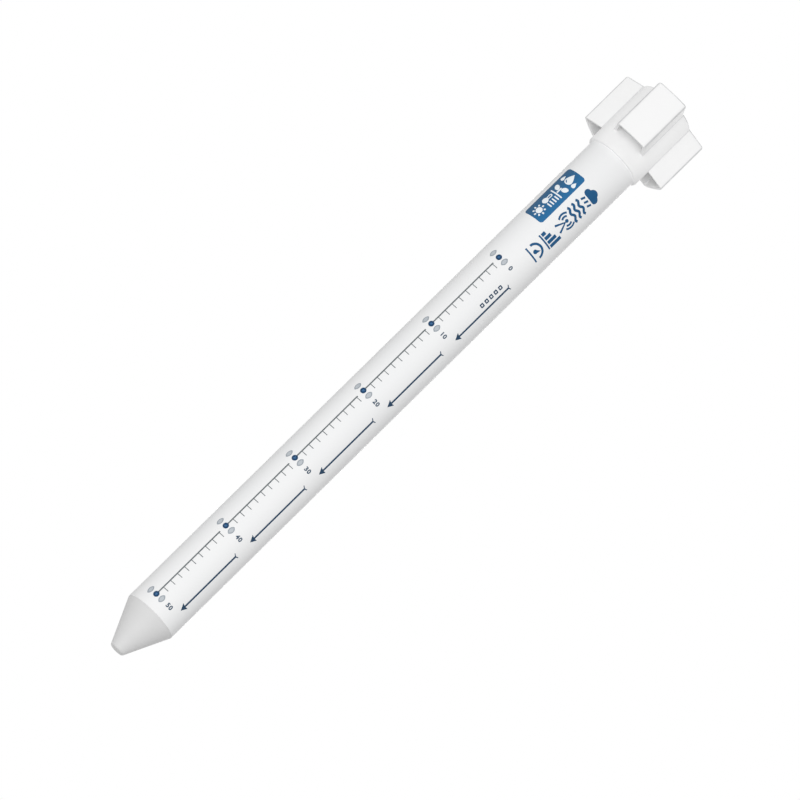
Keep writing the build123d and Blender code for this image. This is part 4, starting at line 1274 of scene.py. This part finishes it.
# %% Tree of leads
legs, given = growth_tree("leads round a chip",
                          {"Leads": "Int", "Pitch": "Float", "Sides": "Int", "Place": "Vector",
                           "Turn": "Vector", "Finish": "Material"})
last = add(legs, "ShaderNodeMath", {0: given["Leads"], 1: -1.0}, operation="ADD").outputs[0]
span = add(legs, "ShaderNodeMath", {0: last, 1: given["Pitch"]}, operation="MULTIPLY").outputs[0]
first = add(legs, "ShaderNodeMath", {0: span, 1: -0.5}, operation="MULTIPLY").outputs[0]
first = add(legs, "ShaderNodeCombineXYZ", {"X": first}).outputs[0]
step = add(legs, "ShaderNodeCombineXYZ", {"X": given["Pitch"]}).outputs[0]
side = add(legs, "GeometryNodeMeshLine",
           {"Count": given["Leads"], "Start Location": first, "Offset": step})
side = add(legs, "GeometryNodeInstanceOnPoints",
           {"Points": side.outputs[0], "Instance": given["Geometry"]})
spin = add(legs, "ShaderNodeMath", {0: 2 * math.pi, 1: given["Sides"]}, operation="DIVIDE").outputs[0]
spin = add(legs, "ShaderNodeMath", {0: spin, 1: add(legs, "GeometryNodeInputIndex").outputs[0]},
           operation="MULTIPLY").outputs[0]
spin = add(legs, "ShaderNodeCombineXYZ", {"Z": spin}).outputs[0]
ring = add(legs, "GeometryNodeMeshLine", {"Count": given["Sides"], "Offset": (0, 0, 0)})
ring = add(legs, "GeometryNodeInstanceOnPoints", {"Points": ring.outputs[0], "Instance": side.outputs[0],
                                                  "Rotation": spin})
ring = add(legs, "GeometryNodeTransform", {0: ring.outputs[0], "Translation": given["Place"],
                                           "Rotation": given["Turn"]})
end_tree(legs, ring.outputs[0], given["Finish"])

# %% Chips
CHIP_LIFT, CHIP_HEIGHT, CHIP_ROUND = 0.15, 1.4, 0.15
LEAD_BEND = [(-0.5, 0.8), (0.5, 0.8), (0.8, 0.1), (1.5, 0.1)]
LEAD_THICKNESS = 0.18
LEAD_WIDTH_PER_PITCH = 0.4
# Each kind: half of its width and of its length, leads along a side, their pitch, and sides with leads.
LARGE_CHIP, SMALL_CHIP = (3.5, 3.5, 8, 0.8, 4), (2.0, 2.6, 4, 1.27, 2)


def chip(name, kind, place, board_side):
    """Chip of black epoxy with bent leads, on a side of the board; place is across and up, in mm."""
    half_width, half_length, leads, pitch, sides = kind
    foot, turn = (place[0], FACE[board_side], place[1]), TURN[board_side]
    low, high = (-half_length, -half_width, CHIP_LIFT), (half_length, half_width, CHIP_HEIGHT)
    rows(name + "_body", set_down(brick(low, high, CHIP_ROUND), *foot, turn), epoxy)
    lead = plate("lead", [stroke(LEAD_BEND, LEAD_THICKNESS)], LEAD_WIDTH_PER_PITCH * pitch)
    # The flat lead is stood on its edge, so that it reaches out from the chip's side and down.
    lead.transform(Matrix(((0, 0, 1, 0), (1, 0, 0, half_width * MM), (0, 1, 0, 0), (0, 0, 0, 1))))
    values = {"Leads": leads, "Pitch": pitch * MM, "Sides": sides, "Place": tuple(Vector(foot) * MM),
              "Turn": turn, "Finish": solder}
    keep(name + "_leads", grow(legs, lead, values), "probe")


chip("controller", LARGE_CHIP, (-17.6, 213.0), FRONT)
chip("memory", SMALL_CHIP, (16.8, 226.5), BACK)
chip("regulator", SMALL_CHIP, (-16.8, 214.0), BACK)

# %% Coil, capacitors and crystal
# Each part: its width, its rise from the board and its length. Each place: across and up.
COIL, COIL_ROUND, COIL_PLACE = (5.6, 3.0, 5.6), 0.7, (-18.0, 229.0)
CRYSTAL, CRYSTAL_ROUND, CRYSTAL_PLACE = (4.6, 1.3, 3.2), 0.4, (-16.7, 223.0)
CAPACITOR, CAPACITOR_ROUND = (2.2, 1.9, 4.0), 0.2
# Each row of capacitors: its side of the board, the first one's place, how many, and their step.
CAPACITOR_ROWS = {"front_capacitors": (FRONT, (-20.2, 221.6), 3, (2.7, 0, 0)),
                  "back_capacitors": (BACK, (15.1, 210.6), 2, (3.0, 0, 0))}
rows("converter_coil", standing(FRONT, COIL_PLACE, COIL, COIL_ROUND), ferrite)
for name, (side, place, copies, step) in CAPACITOR_ROWS.items():
    rows(name, standing(side, place, CAPACITOR, CAPACITOR_ROUND), tantalum, copies, step)
rows("timing_crystal", standing(BACK, CRYSTAL_PLACE, CRYSTAL, CRYSTAL_ROUND), finishes["shield_can"])

# %% Resistors
RESISTOR = (0.9, 0.45, 1.2)
RESISTOR_END = (1.0, 0.5, 0.45)
RESISTOR_ROUND = 0.06
RESISTOR_STEP = (1.9, 0, 0)
RESISTORS, RESISTOR_ROWS = 4, 2


def resistors(name, side, x, z):
    """Rows of chip resistors with tinned ends; x and z are the middle of the lowest end, in mm."""
    length = RESISTOR[2]
    body = standing(side, (x, z + length / 2), RESISTOR, RESISTOR_ROUND)
    rows(name + "_resistors", body, ceramic, RESISTORS, RESISTOR_STEP,
         RESISTOR_ROWS, (0, 0, 2 * length))
    end = standing(side, (x, z), RESISTOR_END, RESISTOR_ROUND)
    rows(name + "_resistor_ends", end, solder, RESISTORS, RESISTOR_STEP,
         2 * RESISTOR_ROWS, (0, 0, length))


resistors("front", FRONT, x=-20.55, z=203.6)
resistors("back", BACK, x=13.65, z=217.2)

# %% [markdown]
# ## Solder joints, radio lid and antenna track
# The header behind the board is soldered from the front: each pin ends in a small bright cone. A profile
# turned round its axis gives that cone, and the vents in the radio's lid as well: dark discs of epoxy,
# painted shade where the lid would be open. The antenna is one gold track that runs to and fro over its
# narrow board, so its line is worked out from the board's edges.

# %% Header joints
JOINT_PROFILE = [(0, 1.1), (0.28, 1.05), (0.34, 0.6), (0.55, 0.2), (0.85, 0.0), (0, -0.05)]
JOINT_START = (-7.0, FACE[FRONT], 198.2)
JOINTS, JOINT_STEP = 8, (2.0, 0, 0)
JOINT_ROWS, JOINT_ROW_STEP = 2, (0, 0, 2.54)
joint = set_down(turned(JOINT_PROFILE), *JOINT_START, TO_FRONT)
rows("header_joints", joint, solder, JOINTS, JOINT_STEP, JOINT_ROWS, JOINT_ROW_STEP)

# %% Radio lid and vents of painted shade
LID_INSET, LID_RISE, LID_SUNK, LID_ROUND = 0.4, 0.2, 0.3, 0.15
VENT_PROFILE = [(0, 0.24), (0.55, 0.23), (0.6, 0.2), (0.6, 0), (0, 0)]
VENT_SIDES, VENTS, VENT_ROWS, VENT_STEP = 14, 5, 2, 3.0
VENT_LEFT, VENT_LOW = -6.0, 225.0
radio_low, radio_high = [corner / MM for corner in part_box("radio_module")]
lid = brick((radio_low.x + LID_INSET, radio_low.y - LID_RISE, radio_low.z + LID_INSET),
            (radio_high.x - LID_INSET, radio_low.y + LID_SUNK, radio_high.z - LID_INSET), LID_ROUND)
rows("radio_lid", lid, finishes["shield_can"])
# Each vent is a dark epoxy disc on the lid: painted shade in place of a hole.
vent = set_down(turned(VENT_PROFILE, VENT_SIDES), VENT_LEFT, radio_low.y, VENT_LOW, TO_FRONT)
rows("radio_vent_shade", vent, epoxy, VENTS, (VENT_STEP, 0, 0), VENT_ROWS, (0, 0, VENT_STEP))

# %% Antenna track
ANTENNA_EDGE, ANTENNA_TURN, ANTENNA_TURNS = 1.4, 2.4, 27
ANTENNA_LINE, ANTENNA_FILM = 1.0, 0.08
antenna_low, antenna_high = [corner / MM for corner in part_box("cellular_antenna")]
ends = (antenna_low.y + ANTENNA_EDGE, antenna_high.y - ANTENNA_EDGE)
bends = [(antenna_low.x + ANTENNA_TURN * (1 + count // 2), ends[(count + 1) // 2 % 2])
         for count in range(ANTENNA_TURNS)]
track = plate("track", [stroke(bends, ANTENNA_LINE)], ANTENNA_FILM)
rows("antenna_track", set_down(track, 0, 0, antenna_high.z), gold)
